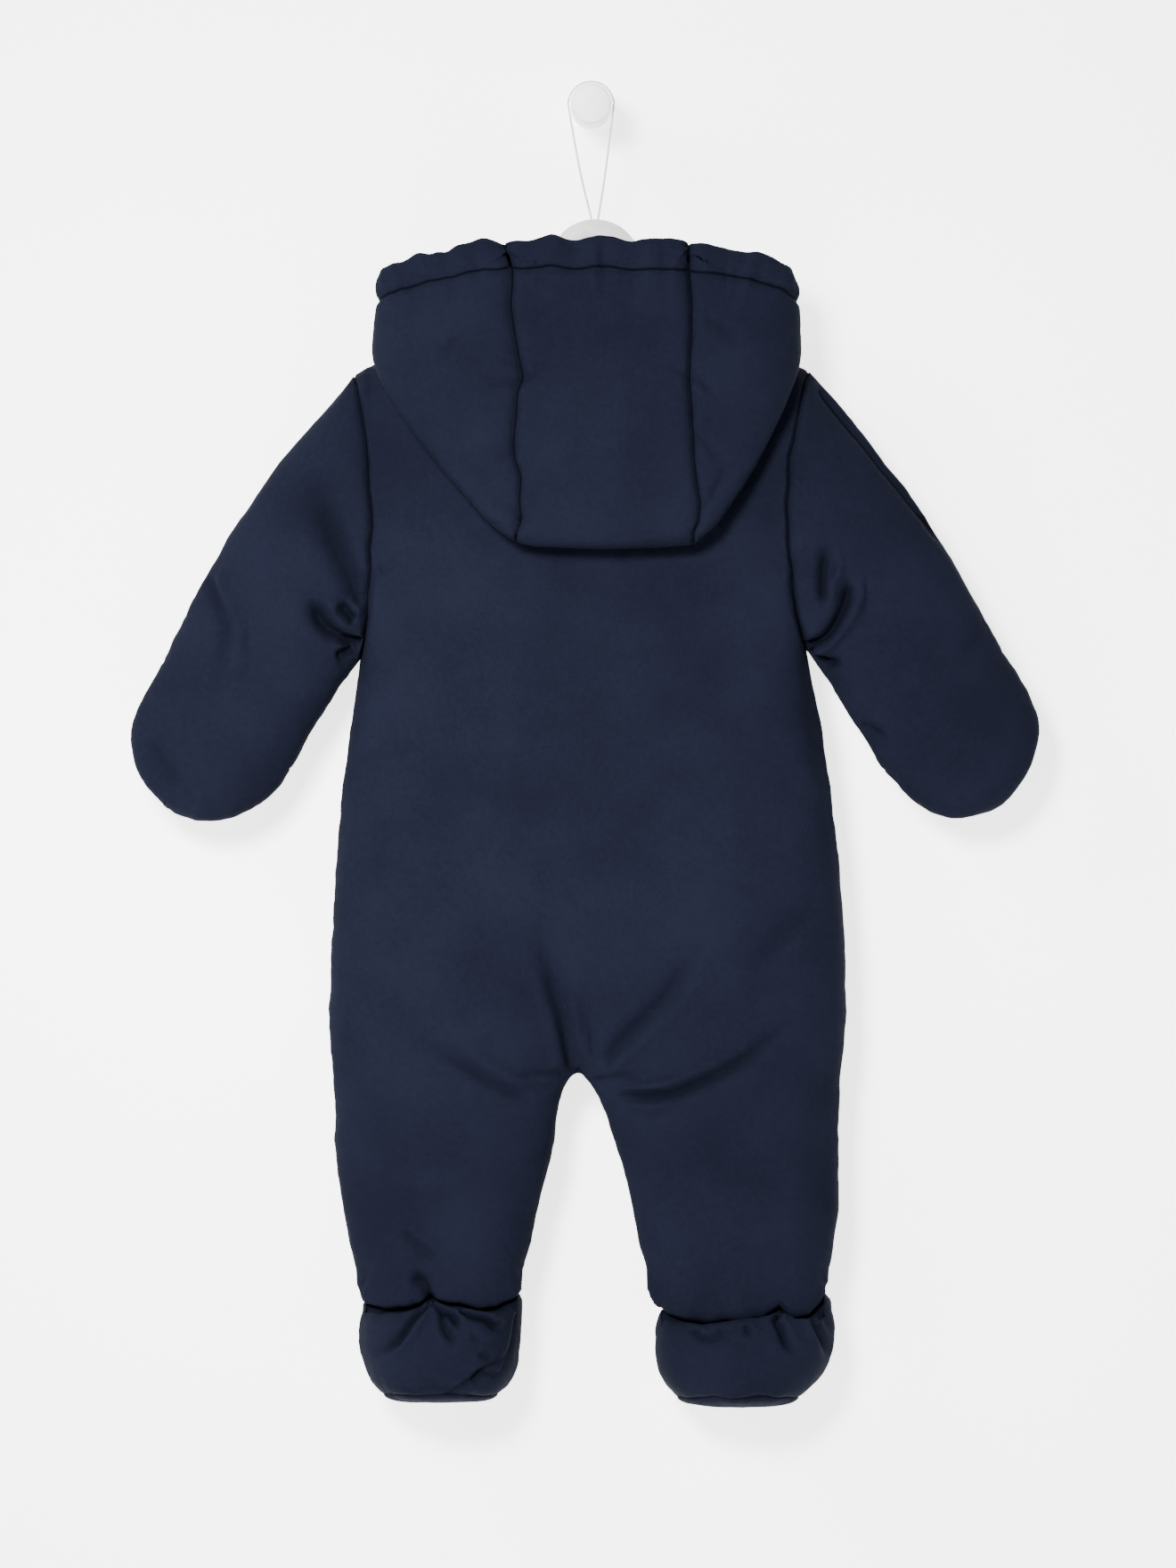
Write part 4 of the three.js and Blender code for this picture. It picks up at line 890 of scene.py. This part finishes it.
def treeOf(place):
    tree = KDTree(len(place))
    for k, spot in enumerate(place.tolist()):
        tree.insert(spot, k)
    tree.balance()
    return tree


def shapePanels(recipe):
    grids = {
        name: readPanel(name, recipe["tapeEdge"] if name == "zip_tape" else recipe["cutEdge"])
        for name in panels
    }
    markSeams(grids, recipe)
    print("panels read")
    made = {}
    for name, grid in grids.items():
        level = max(1, panels[name]["level"] - (0))
        mesh = growPanel(name, grid, level, recipe["longest"] * mm * (1))
        place, faces = points(mesh), facesOf(mesh)
        layer, rim, sewn = (values(mesh, key) for key in ("layer", "rim", "sewn"))
        out = outwardOf(place, faces, layer)
        edge = (rim > 0.999) & (layer < 1e-4)
        made[name] = {"mesh": mesh, "place": place, "layer": layer, "out": out,
                      "seam": edge & (sewn > 0.5), "free": edge & (sewn <= 0.5)}
    print("panels rounded")

    # Both sides of a seam share its line and its direction
    names = sorted(made, key=lambda n: panels[n]["level"])
    edges = seamSamples(made, names)
    tree = treeOf(edges["spot"])
    for index, name in enumerate(names):
        panel = made[name]
        own = np.nonzero(panel["seam"])[0]
        spots, outs = panel["place"][own], panel["out"][own].copy()
        mates = np.full(len(own), -1)
        for k, spot in enumerate(spots.tolist()):
            reach = recipe["neckReach" if atNeck(spot) else "mateReach"]
            near = [(gap, i) for _, i, gap in tree.find_range(spot, reach * mm)
                    if edges["owner"][i] != index]
            if near:
                mates[k] = min(near)[1]
        paired = mates >= 0
        shared = spots.copy()
        shared[paired] = (spots[paired] + edges["spot"][mates[paired]]) / 2
        outs[paired] += edges["out"][mates[paired]]
        outs /= np.maximum(np.linalg.norm(outs, axis=1), 1e-9)[:, None]
        panel.update(own=own, mates=mates, shared=shared, sharedOut=outs)

    for index, name in enumerate(names):
        panel = made[name]
        place = panel["place"]
        which, gap = nearestOf(treeOf(place[panel["own"]]), place)
        seamSpot, seamOut = panel["shared"][which] * 1000, panel["sharedOut"][which]
        gap = gap * 1000
        out = panel["out"] + (seamOut - panel["out"]) * (1 - ease(gap / 8))[:, None]
        out /= np.linalg.norm(out, axis=1)[:, None]
        place = place + panelMove(name, place * 1000, out, gap, seamSpot, seamOut, panel, recipe) * mm
        # the finer panel follows the edge of the one that it is sewn to
        pull = np.zeros((len(panel["own"]), 3))
        for k, mate in enumerate(panel["mates"].tolist()):
            if mate >= 0 and edges["owner"][mate] < index:
                other = made[names[edges["owner"][mate]]]["place"]
                a, b, t = edges["a"][mate], edges["b"][mate], edges["t"][mate]
                pull[k] = other[a] * (1 - t) + other[b] * t - place[panel["own"][k]]
        place += pull[which] * np.exp(-((gap / recipe["closeReach"]) ** 2))[:, None]
        panel["place"], panel["gap"] = place, gap
        mesh = panel["mesh"]
        mesh.vertices.foreach_set("co", place.ravel())
        for key in ("layer", "rim", "sewn", "crease_edge", "crease_vert"):
            if key in mesh.attributes:
                mesh.attributes.remove(mesh.attributes[key])
        # the painted shade of creases goes onto the mesh, with the distances to seams and stitch lines
        for key, source in (("fold", "fold"), ("seamGap", "gap"), ("lineGap", "line")):
            if source in panel:
                mesh.attributes.new(key, "FLOAT", "POINT").data.foreach_set("value", panel[source])
        mesh.update()
        mesh.shade_smooth()
    print("panels shaped")
    return made


def seamSamples(made, names):
    # Points along every sewn edge, with the two vertices that each lies between
    found = {"spot": [], "out": [], "owner": [], "a": [], "b": [], "t": []}
    for index, name in enumerate(names):
        panel = made[name]
        ends = edgesOf(panel["mesh"])
        ends = ends[panel["seam"][ends].all(1)]
        for t in np.arange(8) / 8:
            for key in ("place", "out"):
                value = panel[key][ends[:, 0]] * (1 - t) + panel[key][ends[:, 1]] * t
                found["spot" if key == "place" else "out"].append(value)
            found["owner"].append(np.full(len(ends), index))
            found["a"].append(ends[:, 0])
            found["b"].append(ends[:, 1])
            found["t"].append(np.full(len(ends), t))
    return {key: np.concatenate(parts) for key, parts in found.items()}


def panelMove(name, place, out, gap, seamSpot, seamOut, panel, recipe):
    # How far every point moves, in millimetres
    view = panels[name]["view"]
    facing = np.abs(seamOut[:, 1])
    if view == "tape":
        return np.zeros_like(place)
    # a seam is drawn in, the padding stands up beside it, and it puckers
    deep = recipe["seamDeepSide"] + (recipe["seamDeep"] - recipe["seamDeepSide"]) * ease(facing * 1.2)
    reach = gap / recipe["padReach"]
    height = -deep * np.exp(-gap / recipe["seamWide"])
    height += recipe["seamPad"] * facing * reach * np.exp(1 - reach) * ease(gap / 4)
    pucker = unevenness(seamSpot, recipe["puckerSize"], 3)
    pucker += 0.5 * unevenness(seamSpot, recipe["puckerSize"] * 0.45, 4)
    strong = 0.55 + 0.45 * unevenness(seamSpot, 40, 5)
    ankle = ankleForm
    atAnkle = np.exp(-(((seamSpot[:, 2] - ankle["z"]) / ankle["reach"]) ** 2))
    atAnkle = atAnkle * (np.abs(seamSpot[:, 1] - midY) < ankle["halfDepth"])
    strong = strong * (0.5 + 0.5 * facing) * (1 + 0.9 * atAnkle)
    height += recipe["puckerDeep"] * strong * pucker * np.exp(-gap / recipe["puckerReach"])
    sunk = ankle["sunk"][0] + ankle["sunk"][1] * facing
    height -= sunk * atAnkle * np.exp(-gap / ankle["sunkReach"])
    wave = recipe["edgeWave"] * unevenness(seamSpot, recipe["edgeWaveSize"], 6) * (1 - facing)
    height += wave * np.exp(-((gap / 22) ** 2)) * (1 - atAnkle)
    # the cloth is never quite even
    body = recipe["broadDeep"] * unevenness(place, recipe["broadSize"], 11)
    body += recipe["smallDeep"] * unevenness(place, recipe["smallSize"], 12)
    hidden = np.zeros(len(place))
    if view == "hood":
        hidden = ease((out[:, 1] + 0.15) / 0.3)
    height += body * ease(gap / 12) * (1 - hidden)
    height += recipe["fuller"] * (1 - hidden) * (1 + 1.2 * (place[:, 2] < ankle["feetBelow"]))
    lines = {"back": backCreases, "front": frontCreases, "hood": hoodCreases}.get(view, [])
    flat = place[:, [0, 2]]
    towards = out[:, 1] if view == "front" else -out[:, 1]
    shown = ease((towards - 0.02) / 0.35)
    fold = np.zeros(len(place))
    panel["line"] = np.full(len(place), 99.0)
    for crease in lines:
        added = creaseHeight(flat, crease, recipe["creaseStrength"]) * shown
        height += added
        # painted shade: narrow creases also darken the colour of the cloth, the more the deeper they are
        if crease["wide"] < 12:
            fold += np.clip(-added / (8 if crease["wide"] < 3.5 else 12), 0, 0.5)
        if crease.get("sewn") == name:
            panel["line"] = lineSide(flat, crease["line"])
    if view == "hood":
        # the hem runs out level where it meets the front of the neck
        level = 1 - (seamSpot[:, 1] > midY) * np.exp(-((gap / 9) ** 2))
        height = height * (1 - 0.85 * hidden) + hoodHemHeight(place, panel) * level
        panel["line"] = panel["hemGap"] - hoodHem["stitchAt"]
    panel["fold"] = np.clip(fold, 0, 0.8)
    if name == "back":
        under = (np.abs(place[:, 0] - hoodRest["x"]) < hoodRest["half"]) & (place[:, 2] > hoodRest["low"])
        height = np.where(under, np.minimum(height, hoodRest["most"]), height)
    # the padded leg bulges over the ankle seam and the foot slopes away under it
    leg = name in ("back", "front_left", "front_right")
    if leg:
        height += ankle["bulge"] * atAnkle * np.exp(-(((gap - ankle["bulgeAt"]) / ankle["bulgeReach"]) ** 2))
    else:
        height -= ankle["slope"] * atAnkle * np.exp(-gap / ankle["slopeReach"])
    move = out * height[:, None]
    if leg:
        down = np.exp(-(((gap - ankle["hangAt"]) / ankle["bulgeReach"]) ** 2))
        move[:, 2] -= ankle["hang"] * atAnkle * down
    if view == "hood":
        move[:, 2] += panel["hemLift"] * level
        settleHood(move, place, gap, seamSpot)
    # seams stray a little
    stray = np.exp(-((gap / 7) ** 2)) * recipe["wander"] * (0.2 + 0.8 * facing)
    for axis, seed in ((0, 21), (2, 22)):
        move[:, axis] += stray * unevenness(seamSpot, recipe["wanderSize"], seed)
    # and the ankle seams follow their line
    share = 0.35 + 0.65 * ease((midY - seamSpot[:, 1] + 4) / 12)
    x, z = np.array(ankleLine, float).T
    lift = np.clip(np.interp(seamSpot[:, 0], x, z) - seamSpot[:, 2], -20, 6)
    move[:, 2] += (atAnkle > 0.2) * share * lift * np.exp(-((gap / 14) ** 2))
    return move


def settleHood(move, place, gap, seamSpot):
    # Brings the seams, the sides and the lower corners of the hood to where the picture has them
    for side, line in hoodSeams.items():
        x, z = np.array(line, float).T
        on = (seamSpot[:, 0] * side > 0) * ease((-91 - seamSpot[:, 1]) / 3)
        aside = np.interp(-seamSpot[:, 2], -z, x) - seamSpot[:, 0]
        move[:, 0] += on * np.clip(aside, -8, 8) * np.exp(-((gap / 13) ** 2))
    wide = ease((np.abs(place[:, 0]) - 60) / 55) * ease((-place[:, 1] - 62) / 22)
    move[:, 0] += np.sign(place[:, 0]) * hoodHem["wider"] * wide
    for x, z, aside, up in hoodHem["corners"]:
        apart = (place[:, 0] - x) ** 2 + (place[:, 2] - z) ** 2
        near = np.exp(-(apart / hoodHem["cornerReach"] ** 2))
        move[:, 0] += near * aside
        move[:, 2] += near * up


def hoodHemHeight(place, panel):
    # The turned hem of the hood: the groove of its stitches, the roll of its edge and its gathers
    hem = hoodHem
    edge = panel["free"] & (panel["out"][:, 1] < 0.9)
    spots = panel["place"][edge] * 1000
    if not len(spots):
        return np.zeros(len(place))
    which, gap = nearestOf(treeOf(spots), place)
    spot = spots[which]
    groove = -hem["grooveDeep"] * np.exp(-(((gap - hem["stitchAt"]) / hem["grooveWide"]) ** 2))
    inside = ease((hem["stitchAt"] + 1.5 - gap) / 3)
    puff = hem["puff"] * np.sin(np.pi * np.clip(gap / hem["stitchAt"], 0, 1)) * inside
    fade = np.where(gap < hem["stitchAt"], 1.0, np.exp(-(gap - hem["stitchAt"]) / hem["belowReach"]))
    gather = unevenness(spot, hem["gatherSize"], 31) + 0.6 * unevenness(spot, hem["gatherSize"] * 0.45, 32)
    gather *= hem["gatherDeep"] * fade * (0.5 + 0.5 * ease(gap / 6))
    panel["hemGap"] = gap
    wave = unevenness(spot * (1, 0, 0), 11, 33) + 0.5 * unevenness(spot * (1, 0, 0), 5.5, 34)
    panel["hemLift"] = hem["edgeWave"] * wave * np.exp(-((gap / 11) ** 2))
    return groove + puff + gather


def thinInside(name, panel):
    # The face of the cloth on the inside of the suit needs fewer faces than the one that shows
    piece = helperObject(name + "_full", panel["mesh"].copy())
    inside = np.nonzero((panel["layer"] > 0.999) & (panel["gap"] > 3))[0]
    piece.vertex_groups.new(name="inside").add(inside.tolist(), 1, "REPLACE")
    fewer = piece.modifiers.new("fewer", "DECIMATE")
    fewer.vertex_group = "inside"
    fewer.ratio = 1 - clothRecipe["thinning"] * len(inside) / len(panel["layer"])
    mesh = applied(piece)
    mesh.name = name
    return mesh


made = shapePanels(clothRecipe)
for name, panel in made.items():
    mesh = thinInside(name, panel)
    piece = addObject(name + "_cloth", mesh, "tape" if name == "zip_tape" else "cloth")
    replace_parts(piece, name)
print("cloth ready")


def groupNode(tree, kind, **settings):
    node = tree.nodes.new(kind)
    for key, value in settings.items():
        setattr(node, key, value)
    return node


def startTree(name, sizes):
    # A node tree with a geometry input and one named input for each size
    tree = bpy.data.node_groups.new(name, "GeometryNodeTree")
    tree.interface.new_socket("Geometry", in_out="INPUT", socket_type="NodeSocketGeometry")
    for key in sizes:
        tree.interface.new_socket(key, in_out="INPUT", socket_type="NodeSocketFloat")
    tree.interface.new_socket("Geometry", in_out="OUTPUT", socket_type="NodeSocketGeometry")
    return tree, tree.nodes.new("NodeGroupInput").outputs, tree.nodes.new("NodeGroupOutput").inputs


def grownAlong(name, path, tree, sizes, closed=False):
    # Runs a tree on a line of points in metres and returns the mesh that it makes
    line = bpy.data.meshes.new(name)
    edges = [(k, k + 1) for k in range(len(path) - 1)]
    line.from_pydata([tuple(p) for p in path], edges + ([(len(path) - 1, 0)] if closed else []), [])
    host = helperObject(name + "_line", line)
    modifier = host.modifiers.new("grow", "NODES")
    modifier.node_group = tree
    for item in tree.interface.items_tree:
        if item.in_out == "INPUT" and item.name in sizes:
            modifier[item.identifier] = float(sizes[item.name])
    mesh = applied(host)
    mesh.name = name
    return mesh


def alongPath(tree, geometry, pitch):
    # Points along the line at this pitch, and the turn that lays X along it and Z towards +Y
    link = tree.links.new
    curve = tree.nodes.new("GeometryNodeMeshToCurve")
    link(geometry, curve.inputs["Mesh"])
    even = tree.nodes.new("GeometryNodeResampleCurve")
    even.mode = "LENGTH"
    link(curve.outputs["Curve"], even.inputs["Curve"])
    link(pitch, even.inputs["Length"])
    tangent = tree.nodes.new("GeometryNodeInputTangent")
    first = groupNode(tree, "FunctionNodeAlignRotationToVector", axis="X")
    link(tangent.outputs["Tangent"], first.inputs["Vector"])
    second = groupNode(tree, "FunctionNodeAlignRotationToVector", axis="Z", pivot_axis="X")
    second.inputs["Vector"].default_value = (0, 1, 0)
    link(first.outputs["Rotation"], second.inputs["Rotation"])
    return even.outputs["Curve"], second.outputs["Rotation"]


def finishTree(tree, geometry, output, material):
    real = tree.nodes.new("GeometryNodeRealizeInstances")
    paint = tree.nodes.new("GeometryNodeSetMaterial")
    paint.inputs["Material"].default_value = material
    tree.links.new(geometry, real.inputs["Geometry"])
    tree.links.new(real.outputs["Geometry"], paint.inputs["Geometry"])
    tree.links.new(paint.outputs["Geometry"], output["Geometry"])


def vectorOf(tree, x, y, z):
    node = tree.nodes.new("ShaderNodeCombineXYZ")
    for slot, value in zip("XYZ", (x, y, z)):
        if isinstance(value, (int, float)):
            node.inputs[slot].default_value = value
        else:
            tree.links.new(value, node.inputs[slot])
    return node.outputs["Vector"]


stitches = {"Pitch": 3.3 * mm, "Length": 2.3 * mm, "Thread": 0.75 * mm}


def stitchTree():
    tree, given, output = startTree("stitchRow", stitches)
    link = tree.links.new
    spots, turn = alongPath(tree, given["Geometry"], given["Pitch"])
    bead = tree.nodes.new("GeometryNodeMeshUVSphere")
    bead.inputs["Segments"].default_value = 8
    bead.inputs["Rings"].default_value = 6
    bead.inputs["Radius"].default_value = 0.5
    shape = tree.nodes.new("GeometryNodeTransform")
    link(bead.outputs["Mesh"], shape.inputs["Geometry"])
    link(vectorOf(tree, given["Length"], given["Thread"], given["Thread"]), shape.inputs["Scale"])
    chance = groupNode(tree, "FunctionNodeRandomValue", data_type="FLOAT")
    chance.inputs[2].default_value = 0.82
    chance.inputs[3].default_value = 1.12
    chance.inputs["Seed"].default_value = 7
    place = tree.nodes.new("GeometryNodeInstanceOnPoints")
    link(spots, place.inputs["Points"])
    link(shape.outputs["Geometry"], place.inputs["Instance"])
    link(turn, place.inputs["Rotation"])
    link(chance.outputs[1], place.inputs["Scale"])
    finishTree(tree, place.outputs["Instances"], output, finishes["thread"][0])
    return tree


def hemLine(panel):
    # The line of stitches that holds the elastic of the hood: where the cloth crosses its groove
    place, gap, at = panel["place"] * 1000, panel["hemGap"], hoodHem["stitchAt"]
    ends = edgesOf(panel["mesh"])
    ends = ends[(panel["layer"][ends] < 1e-4).all(1)]
    a, b = ends[:, 0], ends[:, 1]
    cross = (gap[a] < at) != (gap[b] < at)
    a, b = a[cross], b[cross]
    t = ((at - gap[a]) / (gap[b] - gap[a]))[:, None]
    spots = place[a] * (1 - t) + place[b] * t + 0.3 * (panel["out"][a] * (1 - t) + panel["out"][b] * t)
    around = np.degrees(np.arctan2(spots[:, 0] - 4, -(spots[:, 1] + 40)))
    cell = np.floor(around / 1.5)
    line = np.array([spots[cell == k].mean(0) for k in np.unique(cell)])
    for _ in range(2):
        line[1:-1] = (line[:-2] + 2 * line[1:-1] + line[2:]) / 4
    return line * mm


sewing = stitchTree()
for name in ("hood_left", "hood_centre", "hood_right"):
    row = grownAlong(name + "_hem_stitches", hemLine(made[name]), sewing, stitches)
    addObject(name + "_hem_stitches", row, "thread")
print("stitches ready")

zipTeeth = {"Pitch": 1.36 * mm, "Across": 2.9 * mm, "Along": 1.5 * mm, "High": 1.9 * mm, "Offset": 1.15 * mm}


def teethTree():
    tree, given, output = startTree("zipTeeth", zipTeeth)
    link = tree.links.new
    spots, turn = alongPath(tree, given["Geometry"], given["Pitch"])
    index = tree.nodes.new("GeometryNodeInputIndex").outputs["Index"]
    odd = blendValues(tree, "MODULO", index, 2.0)
    rows = tree.nodes.new("GeometryNodeJoinGeometry")
    for side in (-1, 1):
        cube = tree.nodes.new("GeometryNodeMeshCube")
        link(vectorOf(tree, given["Along"], given["Across"], given["High"]), cube.inputs["Size"])
        soft = tree.nodes.new("GeometryNodeSubdivisionSurface")
        soft.inputs["Level"].default_value = 1
        soft.inputs["Edge Crease"].default_value = 0.45
        link(cube.outputs["Mesh"], soft.inputs["Mesh"])
        aside = tree.nodes.new("GeometryNodeTransform")
        link(soft.outputs["Mesh"], aside.inputs["Geometry"])
        offset = scaledBy(tree, given["Offset"], float(side))
        link(vectorOf(tree, 0.0, offset, 0.0), aside.inputs["Translation"])
        place = tree.nodes.new("GeometryNodeInstanceOnPoints")
        link(spots, place.inputs["Points"])
        link(aside.outputs["Geometry"], place.inputs["Instance"])
        link(turn, place.inputs["Rotation"])
        chosen = blendValues(tree, "LESS_THAN" if side < 0 else "GREATER_THAN", odd, 0.5)
        link(chosen, place.inputs["Selection"])
        link(place.outputs["Instances"], rows.inputs["Geometry"])
    finishTree(tree, rows.outputs["Geometry"], output, finishes["plastic"][0])
    return tree


def weldedCopy(node):
    grid = bmesh.new()
    grid.from_mesh(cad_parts[node].data)
    bmesh.ops.remove_doubles(grid, verts=grid.verts[:], dist=2e-5)
    return grid


def chainLine():
    # The middle of the CAD strip of teeth, from the neck down: one point for every four corners
    grid = weldedCopy("zip_chain")
    spots = np.array(sorted((tuple(v.co) for v in grid.verts), key=lambda p: -p[2]))
    grid.free()
    return spots[: len(spots) // 4 * 4].reshape(-1, 4, 3).mean(1)


teeth = grownAlong("zip_teeth", chainLine(), teethTree(), zipTeeth)
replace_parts(addObject("zip_teeth", teeth, "plastic"), "zip_chain")


def bevelled(node, name, width, finish, body="snowsuit"):
    # The CAD piece with its flat faces joined again and its edges rounded
    grid = weldedCopy(node)
    bmesh.ops.dissolve_limit(grid, angle_limit=0.02, verts=grid.verts[:], edges=grid.edges[:])
    mesh = bpy.data.meshes.new(name)
    grid.to_mesh(mesh)
    grid.free()
    piece = helperObject(name + "_rough", mesh)
    edge = piece.modifiers.new("edge", "BEVEL")
    edge.width = width * mm
    edge.segments = 2
    edge.limit_method = "ANGLE"
    edge.angle_limit = 0.7
    mesh = applied(piece)
    mesh.name = name
    mesh.shade_smooth()
    mesh.set_sharp_from_angle(angle=0.6)
    piece = addObject(name, mesh, finish, body)
    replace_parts(piece, node)


bevelled("zip_slider", "zip_slider_body", 0.35, "plastic")
bevelled("zip_pull", "zip_pull_tab", 0.25, "plastic", "pull")
bevelled("hanger", "hanger_board", 0.5, "board")
print("zip and hanger ready")

pegShape = {"radius": 12.0, "length": 70.0, "round": 2.2, "dome": 0.35, "around": 96}


def makePeg(p):
    # A turned peg: the profile as (distance from the wall, radius), from the wall out
    profile = [(0, 0), (0, p["radius"] - 0.4), (0.4, p["radius"])]
    for k in range(9):
        turn = math.radians(90 * k / 8)
        profile.append((p["length"] - p["dome"] - p["round"] * (1 - math.sin(turn)),
                        p["radius"] - p["round"] * (1 - math.cos(turn))))
    profile += [(p["length"] - 0.12, (p["radius"] - p["round"]) * 0.6), (p["length"], 0)]
    grid = bmesh.new()
    rings = []
    turns = [2 * math.pi * k / p["around"] for k in range(p["around"])]
    for out, radius in profile:
        ring = [(radius * math.cos(a), -out, radius * math.sin(a)) for a in (turns if radius else [0])]
        rings.append([grid.verts.new([v * mm for v in spot]) for spot in ring])
    for low, high in zip(rings, rings[1:]):
        for k in range(p["around"]):
            corners = ((low, k), (low, k + 1), (high, k + 1), (high, k))
            grid.faces.new(list(dict.fromkeys(ring[i % len(ring)] for ring, i in corners)))
    bmesh.ops.recalc_face_normals(grid, faces=grid.faces[:])
    mesh = bpy.data.meshes.new("peg_turned")
    grid.to_mesh(mesh)
    grid.free()
    mesh.shade_smooth()
    mesh.set_sharp_from_angle(angle=0.6)
    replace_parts(addObject("peg_turned", mesh, "peg"), "peg")


makePeg(pegShape)

cordShape = {"Pitch": 3.4 * mm, "Ply": 0.44 * mm, "Apart": 0.36 * mm}
cordPlace = {"pegReach": 13.2, "y": -60.5, "holeZ": -80.0, "headX": 2.3, "boardHalf": 2.0, "knot": 2.3}


def cordLine(c):
    # From the knot through the hole, up behind the board, over the peg and back again
    bearing, behind = c["holeZ"] + 1.4, midY + c["boardHalf"] + 1.3
    knotY = midY - c["boardHalf"] - 2.75

    def strand(side):
        x0 = c["headX"]
        return [
            (x0 + side * 0.8, knotY, bearing - 0.6),
            (x0 + side * 0.9, midY - 1, bearing - 0.2),
            (x0 + side * 0.95, midY + 1.2, bearing - 0.2),
            (x0 + side * 1.05, behind, bearing + 0.6),
            (x0 + side * 1.2, behind + 0.3, bearing + 4),
            (x0 + side * 1.5, behind + 0.2, c["holeZ"] + 11),
            (x0 + 0.55 * (side * c["pegReach"] - x0), behind + 0.6 * (c["y"] - behind), -40),
        ]

    over = []
    for degrees in range(-6, 187, 16):
        angle = math.radians(degrees)
        over.append((-c["pegReach"] * math.cos(angle), c["y"], c["pegReach"] * math.sin(angle)))
    route = strand(-1) + over + strand(1)[::-1]
    return smoothLine(route, 0.5) * mm, np.array((c["headX"], knotY, bearing - 0.6)) * mm


def cordTree():
    # Two plies laid round each other
    tree, given, output = startTree("twistedCord", cordShape)
    link = tree.links.new
    curve = tree.nodes.new("GeometryNodeMeshToCurve")
    link(given["Geometry"], curve.inputs["Mesh"])
    run = tree.nodes.new("GeometryNodeSplineParameter").outputs["Length"]
    turns = blendValues(tree, "DIVIDE", run, given["Pitch"])
    twist = tree.nodes.new("GeometryNodeSetCurveTilt")
    link(curve.outputs["Curve"], twist.inputs["Curve"])
    link(blendValues(tree, "MULTIPLY", turns, 2 * math.pi), twist.inputs["Tilt"])
    plies = tree.nodes.new("GeometryNodeJoinGeometry")
    for side in (-1.0, 1.0):
        ring = tree.nodes.new("GeometryNodeCurvePrimitiveCircle")
        ring.inputs["Resolution"].default_value = 8
        link(given["Ply"], ring.inputs["Radius"])
        aside = tree.nodes.new("GeometryNodeTransform")
        link(ring.outputs["Curve"], aside.inputs["Geometry"])
        link(vectorOf(tree, scaledBy(tree, given["Apart"], side), 0.0, 0.0), aside.inputs["Translation"])
        link(aside.outputs["Geometry"], plies.inputs["Geometry"])
    sweep = tree.nodes.new("GeometryNodeCurveToMesh")
    sweep.inputs["Fill Caps"].default_value = True
    link(twist.outputs["Curve"], sweep.inputs["Curve"])
    link(plies.outputs["Geometry"], sweep.inputs["Profile Curve"])
    finishTree(tree, sweep.outputs["Mesh"], output, finishes["cord"][0])
    return tree


def makeCord():
    tree = cordTree()
    path, knot = cordLine(cordPlace)
    strand = grownAlong("hanger_cord_loop", path, tree, cordShape)
    strand.shade_smooth()
    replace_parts(addObject("hanger_cord_loop", strand, "cord"), "hanger_cord")
    r = cordPlace["knot"] * mm
    turns = np.linspace(0, 2 * math.pi, 90, endpoint=False)
    wind = np.array([
        (knot[0] + r * (math.sin(t) + 2 * math.sin(2 * t)) / 3,
         knot[1] - 0.35 * r * math.sin(3 * t),
         knot[2] + r * (math.cos(t) - 2 * math.cos(2 * t)) / 3)
        for t in turns
    ])
    tied = grownAlong("hanger_cord_knot", wind, tree, cordShape, closed=True)
    tied.shade_smooth()
    addObject("hanger_cord_knot", tied, "cord")


makeCord()
print("peg and cord ready")
